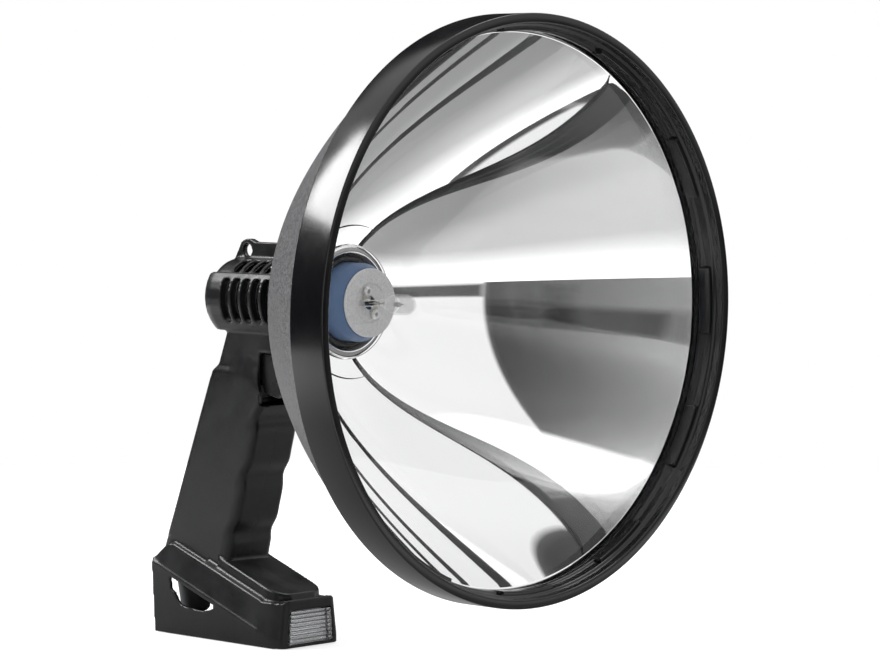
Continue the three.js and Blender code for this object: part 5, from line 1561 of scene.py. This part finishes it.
CARDS = (
    Card("card_by_camera", (-80.0, -38.5), (-15.5, 60.0), (0.13, 0.04), softness=1.5),
    Card("card_camera", (-59.5, -51.0), (-11.0, 12.0), (0.03, 0.02), distance=2.9),
    Card("card_above", (-80.0, 40.0), (57.0, 89.0), (1.5, 1.3), softness=2.0, distance=3.05),
    Card("card_low_front", (-40.0, 3.0), (-12.0, -3.0), (0.06, 0.1), softness=2.0),
    Card("card_right_front", (22.0, 70.0), (-16.0, 5.0), (0.03, 0.03), softness=6.0),
    Card("card_neck", (40.0, 52.0), (-9.0, 2.0), (0.2, 0.2), softness=2.0, distance=2.9),
    Card("card_right_back", (84.0, 182.0), (-16.0, 46.0), (0.02, 0.02), softness=6.0),
    Card("card_back_left", (-180.0, -84.0), (-15.0, 28.0), (0.02, 0.04), softness=6.0),
)


@dataclass(frozen=True)
class Lamp:
    """A soft square lamp that faces a target; sizes in metres, power in watts."""

    name: str
    place: Triple
    target: Triple
    size: float
    power: float
    mirrored: bool = True

    def build(self) -> None:
        """Builds the lamp; one that isn't mirrored doesn't show in reflections."""
        data = bpy.data.lights.new(self.name, "AREA")
        data.size, data.energy = self.size, self.power
        back = np.array(self.place) - self.target
        lamp = linked(self.name, data)
        lamp.matrix_world = standing(np.cross((0.0, 0.0, 1.0), back), back, self.place)
        lamp.visible_glossy = self.mirrored


LAMPS = (
    Lamp("key", (0.92, -0.26, 1.91), (0.0, -0.1, 0.12), size=0.8, power=11.0),
    Lamp("edge_light", (-1.2, 1.2, 1.5), (0.0, 0.0, 0.12), size=1.0, power=60.0),
    Lamp("right_light", (1.1, 0.6, 1.5), (0.0, 0.0, 0.12), size=1.2, power=5.0, mirrored=False),
)


@dataclass
class Studio:
    """Plain pale floor, soft light and the camera at the photograph's angle."""

    floor_middle: Triple = (0.0, -0.1, 0.0)
    floor_radius: float = 0.8
    floor_sides: int = 96
    floor_glow: float = 0.72
    mirrored_glow: float = 1.35
    dim_ring: Pair = (0.26, 0.46)
    sky_light: float = 0.62
    lens: float = 146.74
    sensor: float = 36.0
    location: Triple = (-1.1003, -1.2020, 0.2428)
    right: Triple = (0.70003, -0.71412, 0.0)
    back: Triple = (-0.71271, -0.69865, 0.06272)

    def build(self) -> None:
        """Builds the camera, the floor, the world, the lamps and the cards."""
        self.camera()
        self.floor()
        self.world()
        for item in (*LAMPS, *CARDS):
            item.build()
        bpy.context.scene.view_settings.view_transform = "Standard"

    def camera(self) -> None:
        """Camera placed from its location and its right and back axes."""
        data = bpy.data.cameras.new("camera")
        data.lens, data.sensor_width = self.lens, self.sensor
        camera = linked("camera", data)
        camera.matrix_world = standing(self.right, self.back, self.location)
        bpy.context.scene.camera = camera

    def floor(self) -> None:
        """Round floor that takes the object's shadow.

        It glows for the camera, and for reflections past the inner radius of the dim ring round the
        object, rising to its full glow at the outer one.
        """
        q = around(self.floor_sides)
        rim = placed(np.cos(q), np.sin(q), 0.0) * self.floor_radius
        mesh = bpy.data.meshes.new("floor")
        mesh.from_pydata(rim.tolist(), [], [range(self.floor_sides)])
        made = PAPER.material()
        tree = made.node_tree
        path = added(tree, "LightPath").outputs
        place = added(tree, "TexCoord").outputs["Object"]
        away = added(tree, "VectorMath", {0: place, 1: self.floor_middle}, operation="DISTANCE")
        ring = {
            "Value": away.outputs["Value"],
            "From Min": self.dim_ring[0],
            "From Max": self.dim_ring[1],
            "To Max": self.mirrored_glow,
        }
        far = added(tree, "MapRange", ring).outputs["Result"]
        mirrored = worked(tree, "MULTIPLY", far, path["Is Glossy Ray"])
        seen = worked(tree, "MAXIMUM", path["Is Camera Ray"], mirrored)
        glow = worked(tree, "MULTIPLY", seen, self.floor_glow)
        fed(tree, tree.nodes["Principled BSDF"], {"Emission Color": WHITE, "Emission Strength": glow})
        mesh.materials.append(made)
        linked("floor", mesh)

    def world(self) -> None:
        """White for the camera, in reflections and through glass, and a softer white as light."""
        world = bpy.data.worlds.new("studio")
        world.use_nodes = True
        tree = world.node_tree
        path = added(tree, "LightPath").outputs
        seen = worked(tree, "MAXIMUM", path["Is Camera Ray"], path["Is Glossy Ray"])
        seen = worked(tree, "MAXIMUM", seen, path["Is Transmission Ray"])
        light = added(tree, "MapRange", {"To Min": self.sky_light, "To Max": 1.0, "Value": seen})
        values = {"Color": WHITE, "Strength": light.outputs["Result"]}
        fed(tree, tree.nodes["Background"], values)
        bpy.context.scene.world = world


def main() -> None:
    """Builds the studio and the searchlight's classes in order."""
    logging.basicConfig(level=logging.INFO, format="%(name)s %(message)s")
    dress_nodes()
    for part in (Studio(), Head(), Bulb(), Handle(), Foot()):
        part.build()


if __name__ == "__main__":
    main()
